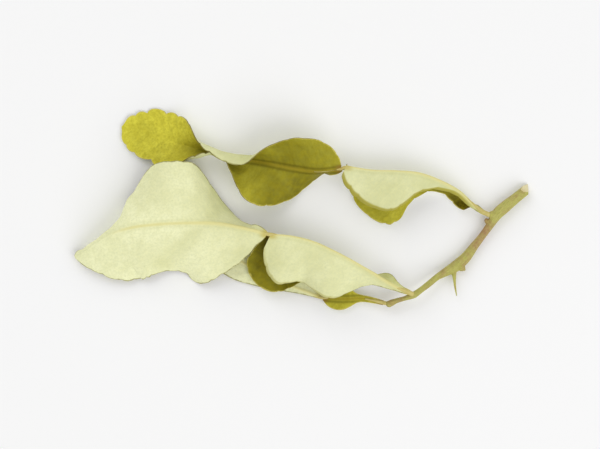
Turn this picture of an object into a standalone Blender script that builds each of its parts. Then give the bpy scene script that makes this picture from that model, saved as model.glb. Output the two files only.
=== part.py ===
"""Makrut lime leaf sprig: a cut twig with three double leaves, lying on a surface.

The twig's cut end is at +X and the leaf tips are at -X. Each leaf is a winged
petiole with a blade jointed to it. A leaf part is a flat outline bent in space:
it has a rib line, and on each side a margin, the angle at which that side
leaves the rib, and how far it turns on its way to the margin.
"""

import math
from dataclasses import dataclass

import bmesh
import bpy
import numpy as np
from mathutils import Matrix, Vector

MM = 0.001
UPWARD = (0.0, 0.0, 1.0)

# Driving dimensions, millimetres
BLADE_THICK = 0.6
RIB_THICK = 1.1
PETIOLE_THICK = 1.5
PETIOLE_FADE = 6.0
RIB_HALF = 0.7
OPEN_WIDTH = 3.4
TOOTH_ROWS = 3
TOOTH_DEPTH = 0.55
BEND_STEPS = 24
CURVE_SAMPLES = 400
TANGENT_REACH = 0.6
RIB_SHARE = 0.4
TOOTH_FADE = 0.7

TWIG_ROWS = 40
TWIG_BEVEL_ROUNDS = 3
TWIG_COLOUR = (0.33, 0.29, 0.07)
TWIG_ROUGHNESS = 0.55
TWIG_SMOOTH_ANGLE = 40
WELD = 1e-6
THORN_ROWS = 7
THORN_BASE_RADIUS = 0.85
THORN_TIP_RADIUS = 0.12
THORN_TAPER = 1.8
THORN_BOW = 0.12
KNOB_SEGMENTS = 12
KNOB_RINGS = 8
SCAR_SIZE = (1.2, 1.5, 1.3)
SCAR_TURN = 40
BUD_SIZE = (0.7, 1.0, 0.7)
BUD_TURN = 30

# The flat foot under the twig, the straight cut at its end and the chip out of its top
FOOT_DEPTH = 0.146
FLOOR_BOX = (60.0, 60.0, 10.0)
FLOOR_CENTRE = (46.0, -8.0)
CUT_BOX = (3.4, 9.0, 9.0)
CUT_CENTRE = (65.37, 7.0, 2.0)
CHIP_BOX = (7.0, 7.0, 3.0)
CHIP_PLACE = (62.27, 4.9, 3.1)
CHIP_NORMAL = (0.2, 0.68, 0.7)

# Where the finished sprig is moved so that its box stands centred on the origin
SHIFT = (-0.217, 0.097, -0.146)


@dataclass(frozen=True)
class Side:
    """One side of a leaf part.

    margin: points from base to tip, (place along the rib, width out from it), mm.
    bend: (place along the rib mm, slope at the rib deg, turn over the widest width deg).
    """

    margin: tuple
    bend: tuple


@dataclass(frozen=True)
class LeafPart:
    """A winged petiole or a blade; rib_end is where the rib ends in the margins' measure."""

    name: str
    rib: tuple
    rib_end: float
    near: Side
    far: Side
    rows: int
    columns: int
    toothed: bool
    petiole: bool
    colour: tuple
    roughness: float


LOWER_WING = LeafPart(
    name="lower_leaf_wing",
    rib=(
        (51.5, -1.2, 3.4), (48.0, 1.3, 4.2), (44.1, 4.8, 5.2), (39.0, 7.6, 6.2),
        (32.9, 9.8, 7.0), (26.7, 10.4, 7.2), (20.0, 10.6, 7.1), (12.6, 11.8, 6.8),
    ),
    rib_end=42.6,
    near=Side(
        margin=(
            (0.0, 0.8), (6.0, 1.35), (11.7, 1.8), (16.0, 3.0), (20.0, 5.2), (23.1, 7.4),
            (25.9, 9.7), (27.9, 11.5), (30.6, 12.3), (33.8, 11.6), (35.9, 10.4),
            (37.9, 9.0), (40.0, 7.4), (42.2, 5.4), (43.4, 3.1),
        ),
        bend=(
            (0, 0, 0), (4, 4, -10), (8, 6, -40), (12, 8, -52), (17, 6, -52), (22, 14, -54),
            (29, 32, -66), (36, 32, -66), (43, 26, -50),
        ),
    ),
    far=Side(
        margin=(
            (0.0, 0.7), (2.5, 1.6), (5.0, 2.9), (7.5, 4.0), (10.0, 4.6), (13.1, 5.3),
            (15.9, 6.5), (18.4, 8.3), (21.0, 10.2), (24.4, 12.4), (26.4, 14.5),
            (28.3, 16.1), (30.0, 16.5), (32.4, 15.6), (34.4, 13.9), (36.6, 12.1), (39.6, 9.2),
            (41.8, 5.2), (42.6, 1.8),
        ),
        bend=(
            (0, -50, 0), (3, -90, -30), (7, -116, -84), (12, -122, -90), (17, -120, -80),
            (22, -122, -70), (30, -130, -64), (36, -126, -70), (43, -116, -80),
        ),
    ),
    rows=37,
    columns=5,
    toothed=True,
    petiole=True,
    colour=(0.62, 0.66, 0.34),
    roughness=0.62,
)

LOWER_BLADE = LeafPart(
    name="lower_leaf_blade",
    rib=(
        (11.5, 11.1, 6.7), (5.4, 10.3, 6.4), (-2.2, 11.3, 5.4), (-12.6, 13.3, 3.6),
        (-19.6, 14.2, 2.5), (-27.0, 16.2, 1.7), (-34.6, 18.6, 1.0), (-42.0, 21.0, 0.7),
        (-50.1, 23.0, 0.85),
    ),
    rib_end=63.4,
    near=Side(
        margin=(
            (0.0, 0.8), (2.0, 1.8), (5.0, 3.4), (8.0, 5.0), (10.0, 6.6),
            (11.7, 8.2), (13.7, 9.5), (16.1, 10.7), (18.5, 11.7), (21.1, 12.2), (23.9, 11.9),
            (27.0, 11.2), (30.0, 9.8), (37.0, 8.4), (44.0, 8.8), (50.5, 8.3), (53.3, 7.6),
            (57.3, 7.1), (60.6, 5.6), (62.7, 3.1), (63.4, 0.9),
        ),
        bend=(
            (0, -80, -60), (5, -74, -80), (8, -56, -30), (12, -28, -15), (16, -6, -5),
            (23, 5, 10), (27, 8, 40), (30.5, 16, 95), (33.5, 32, 180), (37, 32, 208),
            (40, 26, 180), (43, 24, 100), (47, 20, 26), (52, 8, 10), (63, 5, 10),
        ),
    ),
    far=Side(
        margin=(
            (0.0, 0.8), (0.2, 3.2), (2.3, 7.2), (5.0, 9.0), (10.4, 9.9),
            (13.0, 10.0), (15.3, 9.5), (17.8, 8.7), (21.0, 7.9), (25.0, 7.1), (29.0, 7.1),
            (35.0, 6.7), (42.0, 7.5), (45.0, 8.1), (47.6, 7.8), (51.5, 7.7), (54.5, 7.5),
            (56.7, 6.9), (58.6, 5.8), (60.6, 4.5), (62.4, 2.8), (63.4, 0.9),
        ),
        bend=(
            (0, 10, 10), (6, 12, 15), (12, 16, 25), (18, 20, 45), (22.5, 38, 75),
            (26, 28, 185), (30, 15, 218), (34, 14, 215), (37.5, 22, 180), (40, 40, 110),
            (43, 45, 40), (47, 20, 15), (52, 4, 0), (63, 0, 0),
        ),
    ),
    rows=52,
    columns=6,
    toothed=True,
    petiole=False,
    colour=(0.36, 0.36, 0.04),
    roughness=0.45,
)

MIDDLE_WING = LeafPart(
    name="middle_leaf_wing",
    rib=(
        (30.3, -23.3, 5.1), (26.7, -21.8, 6.3), (19.4, -17.4, 8.4), (8.8, -11.6, 9.9),
        (3.5, -9.2, 9.9), (-2.4, -7.7, 9.4), (-8.3, -7.1, 8.9),
    ),
    rib_end=42.6,
    near=Side(
        margin=(
            (0.0, 0.8), (5.0, 1.4), (9.5, 3.0), (12.2, 5.3), (14.2, 8.1), (15.7, 10.5),
            (17.6, 12.3), (19.6, 13.1), (21.4, 13.4), (24.5, 13.6), (28.5, 14.3), (33.5, 14.2),
            (36.8, 14.7), (40.1, 14.4), (42.2, 12.4), (43.5, 9.6), (44.2, 6.4), (44.3, 4.2),
        ),
        bend=(
            (0, -5, 0), (4, -16, 0), (9, -24, -6), (14, -14, -26), (21, 14, -50),
            (29, 10, -76), (36, 14, -62), (41, 8, -40), (43, 2, -34),
        ),
    ),
    far=Side(
        margin=(
            (0.0, 0.8), (2.5, 1.0), (5.0, 1.9), (7.1, 2.9), (9.0, 3.5), (11.5, 4.3),
            (14.5, 5.8), (20.0, 9.6), (27.0, 12.6), (32.0, 14.8), (35.5, 16.7), (38.7, 17.7),
            (42.0, 17.9), (45.0, 16.9), (47.3, 14.8), (48.9, 12.0), (49.1, 9.8), (47.4, 6.2),
            (45.4, 2.8),
        ),
        bend=(
            (0, 0, 0), (5, -6, -6), (8, -50, -30), (11, -98, -60), (15, -116, -70), (21, -122, -66),
            (33, -126, -66), (42, -128, -64), (50, -128, -62),
        ),
    ),
    rows=37,
    columns=5,
    toothed=True,
    petiole=True,
    colour=(0.66, 0.70, 0.36),
    roughness=0.62,
)

MIDDLE_BLADE = LeafPart(
    name="middle_leaf_blade",
    rib=(
        (-9.4, -7.0, 8.9), (-14.2, -5.7, 9.5), (-22.3, -4.2, 10.0), (-31.0, -3.9, 10.2),
        (-39.9, -4.3, 10.0), (-46.4, -5.2, 9.3), (-51.8, -7.1, 7.9), (-57.2, -10.1, 5.6),
        (-62.9, -13.8, 2.6),
    ),
    rib_end=58.0,
    near=Side(
        margin=(
            (0.0, 1.0), (0.8, 2.4), (2.8, 6.5), (5.0, 10.1), (7.1, 12.4), (9.2, 14.5),
            (12.5, 16.8), (16.4, 18.5), (19.0, 19.3), (21.1, 19.2), (23.4, 17.9), (25.8, 16.8),
            (28.8, 16.2), (32.3, 15.8), (38.5, 16.2), (44.7, 16.3), (49.3, 14.8), (52.0, 12.5),
            (54.0, 10.2), (55.2, 7.8), (56.6, 5.2), (57.6, 2.5), (58.0, 0.8),
        ),
        bend=(
            (0, -14, -10), (10, -15.2, -20), (17, -14.85, -21), (24, -17.0, -38), (29, -17, -40),
            (36, -18, -20), (45, -16, -18), (51, -10, -16), (58, -6, 0),
        ),
    ),
    far=Side(
        margin=(
            (0.0, 0.8), (1.6, 1.7), (5.0, 3.8), (7.7, 5.8), (10.3, 8.1), (12.7, 9.9),
            (14.7, 11.2), (16.4, 12.4), (17.9, 13.9), (19.3, 15.5), (21.1, 16.7), (24.1, 17.3),
            (28.0, 17.4), (30.8, 17.2), (33.4, 16.0), (37.0, 13.4), (41.0, 10.6), (46.0, 8.6),
            (52.0, 5.8), (56.0, 3.2), (58.0, 0.8),
        ),
        bend=(
            (0, -50, 0), (3, -64, 0), (7, -70, -10), (10, -60, -20), (14, -40, -20),
            (18, -12, -14), (21, 4, -10), (25, 9, -14), (30, 9, -34), (34, 6, -64), (37, 0, -100),
            (39, -2, -126), (41, -12, -200), (44, -30, -266), (49, -42, -350), (54, -45, -380),
            (58, -45, -380),
        ),
    ),
    rows=52,
    columns=6,
    toothed=True,
    petiole=False,
    colour=(0.68, 0.72, 0.38),
    roughness=0.62,
)

TOP_WING = LeafPart(
    name="top_leaf_wing",
    rib=(
        (23.1, -26.2, 2.9), (20.2, -25.5, 2.5), (17.2, -25.0, 2.2), (13.8, -25.1, 2.1),
        (10.5, -25.1, 2.0), (6.2, -24.8, 1.7),
    ),
    rib_end=16.9,
    near=Side(
        margin=(
            (0.0, 0.7), (3.4, 0.9), (5.4, 1.0), (7.8, 1.4), (9.4, 2.3), (11.3, 3.1),
            (13.3, 3.1), (15.6, 2.1), (16.9, 0.7),
        ),
        bend=((0, -10, 0), (7, -20, 0), (12, -12, 20), (17, -10, 0)),
    ),
    far=Side(
        margin=(
            (0.0, 0.7), (3.4, 0.9), (7.0, 1.3), (9.4, 3.0), (12.0, 4.0), (14.4, 3.8),
            (16.2, 2.4), (16.9, 0.7),
        ),
        bend=((0, 0, 0), (7, 10, 0), (12, 6, 10), (17, 0, 0)),
    ),
    rows=18,
    columns=3,
    toothed=False,
    petiole=True,
    colour=(0.36, 0.34, 0.05),
    roughness=0.5,
)

TOP_BLADE = LeafPart(
    name="top_leaf_blade",
    rib=(
        (5.7, -24.6, 1.5), (-0.2, -22.4, 1.2), (-7.2, -19.6, 1.1), (-14.2, -16.0, 1.1),
        (-21.2, -12.0, 1.3), (-27.0, -9.4, 1.6),
    ),
    rib_end=36.2,
    near=Side(
        margin=(
            (0.0, 0.6), (5.0, 1.2), (11.0, 2.4), (18.0, 4.2), (25.0, 5.6), (31.0, 5.0),
            (34.6, 2.8), (36.2, 0.6),
        ),
        bend=((0, -8, 0), (18, -2, -4), (36, 0, 0)),
    ),
    far=Side(
        margin=(
            (0.0, 0.6), (3.0, 3.0), (9.0, 5.4), (17.0, 6.6), (25.0, 6.4), (31.0, 4.8),
            (34.6, 2.6), (36.2, 0.6),
        ),
        bend=((0, 4, 0), (18, 6, -6), (36, 4, 0)),
    ),
    rows=26,
    columns=4,
    toothed=False,
    petiole=False,
    colour=(0.66, 0.68, 0.40),
    roughness=0.62,
)

LEAF_PARTS = (LOWER_WING, LOWER_BLADE, MIDDLE_WING, MIDDLE_BLADE, TOP_WING, TOP_BLADE)

# Twig centre line, cut end first: x, y, z, radius in mm
TWIG_LINE = (
    (65.2, 7.1, 1.75, 1.38), (60.2, 3.1, 1.85, 1.40), (57.1, 0.6, 2.0, 1.60),
    (54.8, -1.5, 2.15, 1.56), (52.95, -4.4, 2.05, 1.14), (50.6, -7.7, 1.9, 1.02),
    (48.5, -10.4, 1.7, 1.16), (45.9, -13.8, 1.6, 1.48), (43.6, -15.8, 1.6, 1.56),
    (40.2, -17.8, 2.1, 1.14), (38.3, -18.9, 2.6, 0.90), (35.5, -21.1, 3.35, 0.85),
    (33.5, -22.6, 3.85, 0.80), (31.6, -23.9, 4.2, 0.90), (29.1, -24.9, 3.95, 0.64),
    (26.7, -25.6, 3.5, 0.70), (24.8, -26.4, 3.1, 0.84), (24.3, -26.6, 3.0, 0.62),
)
THORN_BASE = (42.8, -17.4, 1.7)
THORN_TIP = (43.7, -24.6, 2.4)
SCAR_PLACE = (44.75, -16.1, 1.8)
LEDGE_LINE = ((44.9, -16.2, 1.8, 1.10), (45.5, -16.75, 1.8, 0.68), (46.05, -17.25, 1.8, 0.26))
BUD_PLACE = (52.1, -3.5, 2.3)
JOINT_PLACES = ((53.4, -1.6, 2.8, 1.10), (31.7, -23.9, 4.3, 0.98), (24.7, -26.5, 3.1, 0.98))


def smooth(knots, values, at):
    """Values at the places asked for, on a cubic through the knots."""
    x = np.asarray(knots, float)
    y = np.asarray(values, float)
    column = y.ndim == 1
    y = y.reshape(len(x), -1)
    slope = np.gradient(y, x, axis=0)
    at = np.clip(np.asarray(at, float), x[0], x[-1])
    i = np.clip(np.searchsorted(x, at, side="right") - 1, 0, len(x) - 2)
    gap = (x[i + 1] - x[i])[..., None]
    t = (at - x[i])[..., None] / gap
    start = (1 + 2 * t) * (1 - t) ** 2 * y[i] + t * (1 - t) ** 2 * gap * slope[i]
    end = t ** 2 * (3 - 2 * t) * y[i + 1] + t ** 2 * (t - 1) * gap * slope[i + 1]
    result = start + end
    return result[..., 0] if column else result


def even_curve(points, count):
    """Points at equal steps along a smooth curve through the given ones, and its length."""
    given = np.asarray(points, float)
    chord = np.r_[0, np.cumsum(np.linalg.norm(np.diff(given, axis=0), axis=1))]
    fine = smooth(chord, given, np.linspace(0, chord[-1], CURVE_SAMPLES))
    run = np.r_[0, np.cumsum(np.linalg.norm(np.diff(fine, axis=0), axis=1))]
    steps = np.linspace(0, run[-1], count)
    even = np.stack([np.interp(steps, run, fine[:, k]) for k in range(given.shape[1])], -1)
    return even, run[-1]


class Rib:
    """The rib line of a leaf part, with the level sideways direction and the upward one."""

    def __init__(self, points):
        self.line, self.length = even_curve(points, CURVE_SAMPLES)
        self.places = np.linspace(0, self.length, CURVE_SAMPLES)

    def point(self, along):
        """Points of the line, carried straight on past its ends."""
        inside = np.clip(along, 0, self.length)
        return np.stack([np.interp(inside, self.places, self.line[:, k]) for k in range(3)], -1)

    def frame(self, along):
        """Point, sideways direction and upward direction at each place."""
        inside = np.clip(along, TANGENT_REACH, self.length - TANGENT_REACH)
        ahead = self.point(inside + TANGENT_REACH) - self.point(inside - TANGENT_REACH)
        ahead /= np.linalg.norm(ahead, axis=-1, keepdims=True)
        past = (along - np.clip(along, 0, self.length))[..., None]
        point = self.point(along) + past * ahead
        side = np.cross(np.array((0.0, 0.0, 1.0)), ahead)
        side /= np.linalg.norm(side, axis=-1, keepdims=True)
        return point, side, np.cross(ahead, side)


def margin_line(side, part, rib_length):
    """Margin points (along, out) for the rows of one side, with the teeth cut in."""
    scale = np.array((rib_length / part.rib_end, 1.0))
    line, _ = even_curve(np.asarray(side.margin) * scale, part.rows)
    if not part.toothed:
        return line
    notch = 1 - np.sqrt(np.abs(np.sin(math.pi * np.arange(part.rows) / TOOTH_ROWS)))
    outward = np.gradient(line, axis=0)[:, ::-1] * np.array((-1.0, 1.0))
    outward /= np.linalg.norm(outward, axis=1, keepdims=True)
    widest = line[:, 1].max()
    fade = np.clip(line[:, 1] / (TOOTH_FADE * widest), 0, 1) ** 2
    return line - outward * (notch * fade * TOOTH_DEPTH)[:, None]


def bent_side(rib, side, part, mirror):
    """Grid of points, rows by columns + 2, of one side from the rib to the margin."""
    margin = margin_line(side, part, rib.length)
    starts = np.linspace(0, rib.length, part.rows)
    rib_edge = np.minimum(RIB_HALF, RIB_SHARE * margin[:, 1]) / margin[:, 1]
    steps = np.linspace(0, 1, part.columns + 1)
    share = np.concatenate([np.zeros((part.rows, 1)), rib_edge[:, None]
                            + (1 - rib_edge[:, None]) * steps[None, :]], axis=1)
    along = starts[:, None] * (1 - share) + margin[:, :1] * share
    out = margin[:, 1:] * share
    knots = [row[0] for row in side.bend]
    bend = smooth(knots, [row[1:] for row in side.bend], along)
    opened = np.clip(margin[:, 1:] / OPEN_WIDTH, 0, 1)
    slope = np.radians(bend[..., 0]) * opened
    turn = np.radians(bend[..., 1]) / margin[:, 1].max()
    point, level, up = rib.frame(along)
    level = -level if mirror else level
    step = out / BEND_STEPS
    for i in range(BEND_STEPS):
        angle = slope + turn * (i + 0.5) * step
        point = point + (np.cos(angle) * step)[..., None] * level + (np.sin(angle) * step)[..., None] * up
    return point


def leaf_points(part):
    """All points of a leaf part, row by row, from the far margin over the rib to the near one."""
    rib = Rib(part.rib)
    near = bent_side(rib, part.near, part, False)
    far = bent_side(rib, part.far, part, True)
    return np.concatenate([far[:, ::-1], near[:, 1:]], axis=1), rib.length


def material(name, colour, roughness):
    """A plain Principled material."""
    made = bpy.data.materials.new(name)
    made.use_nodes = True
    shader = made.node_tree.nodes["Principled BSDF"]
    shader.inputs["Base Color"].default_value = (*colour, 1.0)
    shader.inputs["Roughness"].default_value = roughness
    shader.inputs["Metallic"].default_value = 0.0
    return made


def collection(name):
    """A new collection in the scene."""
    made = bpy.data.collections.new(name)
    bpy.context.scene.collection.children.link(made)
    return made


def move_to(item, target):
    """Takes an object out of every collection and links it to one."""
    for holder in list(item.users_collection):
        holder.objects.unlink(item)
    target.objects.link(item)


def set_smooth(item, angle):
    """Shades a mesh smooth, but for edges sharper than the angle in degrees."""
    item.data.shade_smooth()
    item.data.set_sharp_from_angle(angle=math.radians(angle))


def build_leaf_part(part, target):
    """A grid bent to the part's form, split into triangles and given its thickness."""
    points, length = leaf_points(part)
    rows, across = points.shape[:2]
    bpy.ops.mesh.primitive_grid_add(x_subdivisions=across - 1, y_subdivisions=rows - 1, size=2)
    item = bpy.context.active_object
    item.name = part.name
    item.data.name = part.name
    flat = np.empty(len(item.data.vertices) * 3)
    item.data.vertices.foreach_get("co", flat)
    flat = flat.reshape(-1, 3)
    column = np.rint((flat[:, 0] + 1) / 2 * (across - 1)).astype(int)
    row = np.rint((flat[:, 1] + 1) / 2 * (rows - 1)).astype(int)
    placed = points[row, column] * MM
    item.data.vertices.foreach_set("co", placed.ravel())

    thickest = PETIOLE_THICK if part.petiole else RIB_THICK
    group = item.vertex_groups.new(name="thickness")
    middle = across // 2
    for index in range(len(flat)):
        thick = BLADE_THICK
        if column[index] == middle:
            fade = max(0.0, 1 - row[index] / (rows - 1) * length / PETIOLE_FADE)
            thick = RIB_THICK + (thickest - RIB_THICK) * fade
        group.add([index], thick / thickest, "REPLACE")

    split = item.modifiers.new("split", "TRIANGULATE")
    split.quad_method = "FIXED"
    solid = item.modifiers.new("thickness", "SOLIDIFY")
    solid.thickness = thickest * MM
    solid.offset = 0.0
    solid.vertex_group = group.name
    item.data.shade_smooth()
    item.data.materials.append(material(part.name, part.colour, part.roughness))
    item.location = Vector(SHIFT) * MM
    move_to(item, target)
    return item


def tube(name, line):
    """A closed mesh tube on a line of (x, y, z, radius) rows, in mm."""
    curve = bpy.data.curves.new(name, "CURVE")
    curve.dimensions = "3D"
    curve.bevel_depth = MM
    curve.bevel_resolution = TWIG_BEVEL_ROUNDS
    curve.use_fill_caps = True
    spline = curve.splines.new("POLY")
    spline.points.add(len(line) - 1)
    for point, (x, y, z, radius) in zip(spline.points, line):
        point.co = (x * MM, y * MM, z * MM, 1.0)
        point.radius = radius
    guide = bpy.data.objects.new(name + "_line", curve)
    bpy.context.scene.collection.objects.link(guide)
    evaluated = guide.evaluated_get(bpy.context.evaluated_depsgraph_get())
    mesh = bpy.data.meshes.new_from_object(evaluated)
    mesh.name = name
    work = bmesh.new()
    work.from_mesh(mesh)
    bmesh.ops.remove_doubles(work, verts=work.verts, dist=WELD)
    work.to_mesh(mesh)
    work.free()
    made = bpy.data.objects.new(name, mesh)
    made.matrix_world = guide.matrix_world
    bpy.context.scene.collection.objects.link(made)
    bpy.data.objects.remove(guide)
    return made


def knob(name, place, size, turn=0.0):
    """A small swelling: a sphere stretched to its size, in mm."""
    bpy.ops.mesh.primitive_uv_sphere_add(segments=KNOB_SEGMENTS, ring_count=KNOB_RINGS, radius=MM)
    made = bpy.context.active_object
    made.name = name
    spin = Matrix.Rotation(math.radians(turn), 4, "Z")
    grow = Matrix.Diagonal((*size, 1.0))
    made.data.transform(Matrix.Translation(Vector(place) * MM) @ spin @ grow)
    return made


def cutter(name, centre, size, up, target):
    """A box that is only cut with, in mm; up is the way its top looks."""
    bpy.ops.mesh.primitive_cube_add(size=1.0)
    made = bpy.context.active_object
    made.name = name
    grow = Matrix.Diagonal((*[side * MM for side in size], 1.0))
    spin = Vector(up).to_track_quat("Z", "Y").to_matrix().to_4x4()
    made.data.transform(Matrix.Translation(Vector(centre) * MM) @ spin @ grow)
    made.hide_render = True
    made.display_type = "WIRE"
    move_to(made, target)
    return made


def apply_boolean(item, operation, other=None, group=None):
    """Joins or cuts, and leaves the result in the object's mesh."""
    step = item.modifiers.new("step", "BOOLEAN")
    step.solver = "EXACT"
    step.operation = operation
    if group is None:
        step.object = other
    else:
        step.operand_type = "COLLECTION"
        step.collection = group
    evaluated = item.evaluated_get(bpy.context.evaluated_depsgraph_get())
    mesh = bpy.data.meshes.new_from_object(evaluated)
    item.modifiers.clear()
    old = item.data
    item.data = mesh
    bpy.data.meshes.remove(old)


def thorn_line():
    """The thorn's centre line: thick at the twig, then slender and a little bent."""
    base = Vector(THORN_BASE)
    tip = Vector(THORN_TIP)
    line = []
    for i in range(THORN_ROWS):
        share = i / (THORN_ROWS - 1)
        place = base.lerp(tip, share)
        place.x -= THORN_BOW * math.sin(math.pi * share)
        slender = (1 - share) ** THORN_TAPER
        radius = THORN_TIP_RADIUS + (THORN_BASE_RADIUS - THORN_TIP_RADIUS) * slender
        line.append((*place, radius))
    return line


def build_twig(target, cutters):
    """The twig with its swollen joints, thorn, leaf scar, bud and flat foot."""
    line, _ = even_curve(TWIG_LINE, TWIG_ROWS)
    twig = tube("twig", [tuple(row) for row in line])
    growths = collection("growths")
    pieces = [tube("thorn", thorn_line())]
    pieces.append(knob("scar", SCAR_PLACE, SCAR_SIZE, SCAR_TURN))
    pieces.append(tube("ledge", LEDGE_LINE))
    pieces.append(knob("bud", BUD_PLACE, BUD_SIZE, BUD_TURN))
    for number, (x, y, z, radius) in enumerate(JOINT_PLACES):
        pieces.append(knob(f"swelling_{number}", (x, y, z), (radius, radius, radius)))
    for piece in pieces:
        move_to(piece, growths)
    apply_boolean(twig, "UNION", group=growths)
    for piece in pieces:
        bpy.data.objects.remove(piece)
    bpy.data.collections.remove(growths)
    under = (*FLOOR_CENTRE, FOOT_DEPTH - FLOOR_BOX[2] / 2)
    floor = cutter("foot_cutter", under, FLOOR_BOX, UPWARD, cutters)
    apply_boolean(twig, "DIFFERENCE", other=floor)
    slice_off = cutter("end_cutter", CUT_CENTRE, CUT_BOX, UPWARD, cutters)
    apply_boolean(twig, "DIFFERENCE", other=slice_off)
    above = Vector(CHIP_PLACE) + Vector(CHIP_NORMAL).normalized() * CHIP_BOX[2] / 2
    chip = cutter("chip_cutter", above, CHIP_BOX, CHIP_NORMAL, cutters)
    apply_boolean(twig, "DIFFERENCE", other=chip)
    twig.data.materials.clear()
    twig.data.materials.append(material("twig", TWIG_COLOUR, TWIG_ROUGHNESS))
    set_smooth(twig, TWIG_SMOOTH_ANGLE)
    twig.location = Vector(SHIFT) * MM
    move_to(twig, target)
    return twig


def main():
    """Clears the scene and builds the sprig."""
    for item in list(bpy.data.objects):
        bpy.data.objects.remove(item)
    sprig = collection("makrut_lime_leaf_sprig")
    cutters = collection("cutters")
    build_twig(sprig, cutters)
    for part in LEAF_PARTS:
        build_leaf_part(part, sprig)


main()
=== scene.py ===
"""Makrut lime leaf sprig, dressed: fine leaves and twig over the frame, with floor, light and camera."""

import logging
import math
from collections.abc import Iterator, Sequence
from contextlib import contextmanager
from dataclasses import dataclass
from enum import Enum
from functools import reduce

import bpy
import numpy as np
from bpy.types import Material, Node, NodeOutputs, NodeSocket, NodeTree, Object
from mathutils import Matrix, Vector


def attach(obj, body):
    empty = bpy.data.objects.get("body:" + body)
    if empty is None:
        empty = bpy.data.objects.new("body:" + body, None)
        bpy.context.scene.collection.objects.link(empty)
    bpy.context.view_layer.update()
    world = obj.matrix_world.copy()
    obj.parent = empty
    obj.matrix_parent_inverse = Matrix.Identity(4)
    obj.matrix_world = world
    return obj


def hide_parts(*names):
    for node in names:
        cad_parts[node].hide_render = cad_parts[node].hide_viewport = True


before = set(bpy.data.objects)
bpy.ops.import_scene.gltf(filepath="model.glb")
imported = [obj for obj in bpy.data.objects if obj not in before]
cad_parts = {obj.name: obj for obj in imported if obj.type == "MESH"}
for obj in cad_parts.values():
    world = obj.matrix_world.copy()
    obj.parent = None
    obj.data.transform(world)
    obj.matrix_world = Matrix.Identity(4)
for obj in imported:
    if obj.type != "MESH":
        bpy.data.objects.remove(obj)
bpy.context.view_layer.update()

MM = 0.001
TINY = 1e-9
UPWARD = np.array((0.0, 0.0, 1.0))

# How far the solids were moved to lie centred on the floor, mm
SHIFT = np.array((-0.217, 0.097, -0.146))

# How a leaf part is bent: widths and reaches as in the solids, mm, and finer steps
OPEN_WIDTH = 3.4
TANGENT_REACH = 0.6
CURVE_SAMPLES = 400
BEND_STEPS = 90

# The teeth of a margin, deeper (mm) and less even than in the solids, and whole past a share of its width
TOOTH_ROWS = 3
TOOTH_DEPTH = 0.75
TOOTH_WANDER = 0.5
TOOTH_WANDER_RATE = 0.8
TOOTH_UNEVEN = 0.35
TOOTH_UNEVEN_RATE = 1.9
TOOTH_FADE = 0.25

# How far the fine margin stays inside the one that its points give, mm
MARGIN_INSET = 0.05

# The fine grid: rows for each row of the solids, and how much its columns gather at rib and margin
ROW_SPLIT = 5
DENSE_ENDS = 0.62

# How thick a leaf is, and over what width its margin thins, mm
BLADE_THICK = 0.4
MARGIN_THICK = 0.24
MARGIN_THINS = 2.2

# The midrib: its rise below, groove above and width, mm, what it loses of width and height by the tip, over
# what share of the length it ends, and how it lowers near a margin, mm
RIB_RISE = 0.24
RIB_GROOVE = 0.05
RIB_WIDTH = 0.46
RIB_NARROWS = 0.25
RIB_LOWERS = 0.55
RIB_ENDS = 0.15
RIB_MARGIN = 0.8
RIB_MARGIN_LEFT = 0.25

# The painted shade lines beside the midrib, mm
RIB_SHADE_OUT = 0.85
RIB_SHADE_WIDTH = 0.4

# The woody ends of a rib where two parts meet: how long and wide, and over what length each fades, mm
JOINT_LONG = 2.6
JOINT_LONG_FADE = 2.2
JOINT_WIDE = 1.7
JOINT_WIDE_FADE = 1.2

# The painted shade on a rolled margin: how far in it goes, as a share of the roll, and how steeply it fades
HEM_SHADE_REACH = 1.05
HEM_SHADE_STEEP = 3

# Side veins: their angle to the rib, how they curve, and how far the far side's ones lag, in pitches
VEIN_ANGLE = math.radians(56)
VEIN_CURVE = 0.02
VEIN_LAG = 0.37

# The soft waves between the veins, and the slow swells: how high, mm, and rates along x and y with a start
WAVE_RISE = 0.05
WAVE_FROM_RIB = (0.6, 2.0)
WAVE_FROM_EDGE = (0.3, 2.4)
SWELL_RISE = 0.03
SWELLS = ((0.83, 0.41, 1.3), (-0.37, 0.52, 0.4))

# Where a crease begins, from the margin and from the rib: its start and fade, mm
CREASE_FROM_EDGE = (0.2, 1.5)
CREASE_FROM_RIB = (0.0, 2.5)

# Ridges round a ring of the twig: how many, where they start, and how much each set counts
RING_RIDGES = ((3, 0.7, 1.0), (7, 2.1, 0.6))

# Long ridges of the bark: how many round it, their twist and sway along it, and how much each set counts
BARK_RIDGES = ((11, 0.35, 1.2, 0.6), (23, -0.2, 0.0, 0.4))
BARK_SWAY_RATE = 0.5

# How brown the bark is: all over, in a line on its far side, in a patch and near its thin end, with places
# and fades along the twig in mm
BROWN_ALL = 0.12
BROWN_LINE = 0.7
BROWN_LINE_WIDTH = 0.55
BROWN_LINE_SPAN = (7, 28)
BROWN_LINE_FADE = 4
BROWN_PATCH = 0.85
BROWN_PATCH_PLACE = 22.0
BROWN_PATCH_WIDTH = 4.6
BROWN_END = 0.2
BROWN_END_SPAN = (44, 6)

# Points closer than this are one point, in a tube and in a cut, metres
WELD = 0.01 * MM
FINE_WELD = 0.0001 * MM

# The bark: samples of the twig's line, and how a cut's face is told from the bark's small faces
BARK_SAMPLES = 900
FLAT_ENOUGH = 0.99
BARK_FACE_CORNERS = 6

# Edges sharper than this aren't shaded smooth
LEAF_SHARP = math.radians(50)
TWIG_SHARP = math.radians(40)

log = logging.getLogger("makrut_lime_leaf_sprig")

Array = np.ndarray
Colour = tuple[float, float, float]
Place = tuple[float, float, float]


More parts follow.
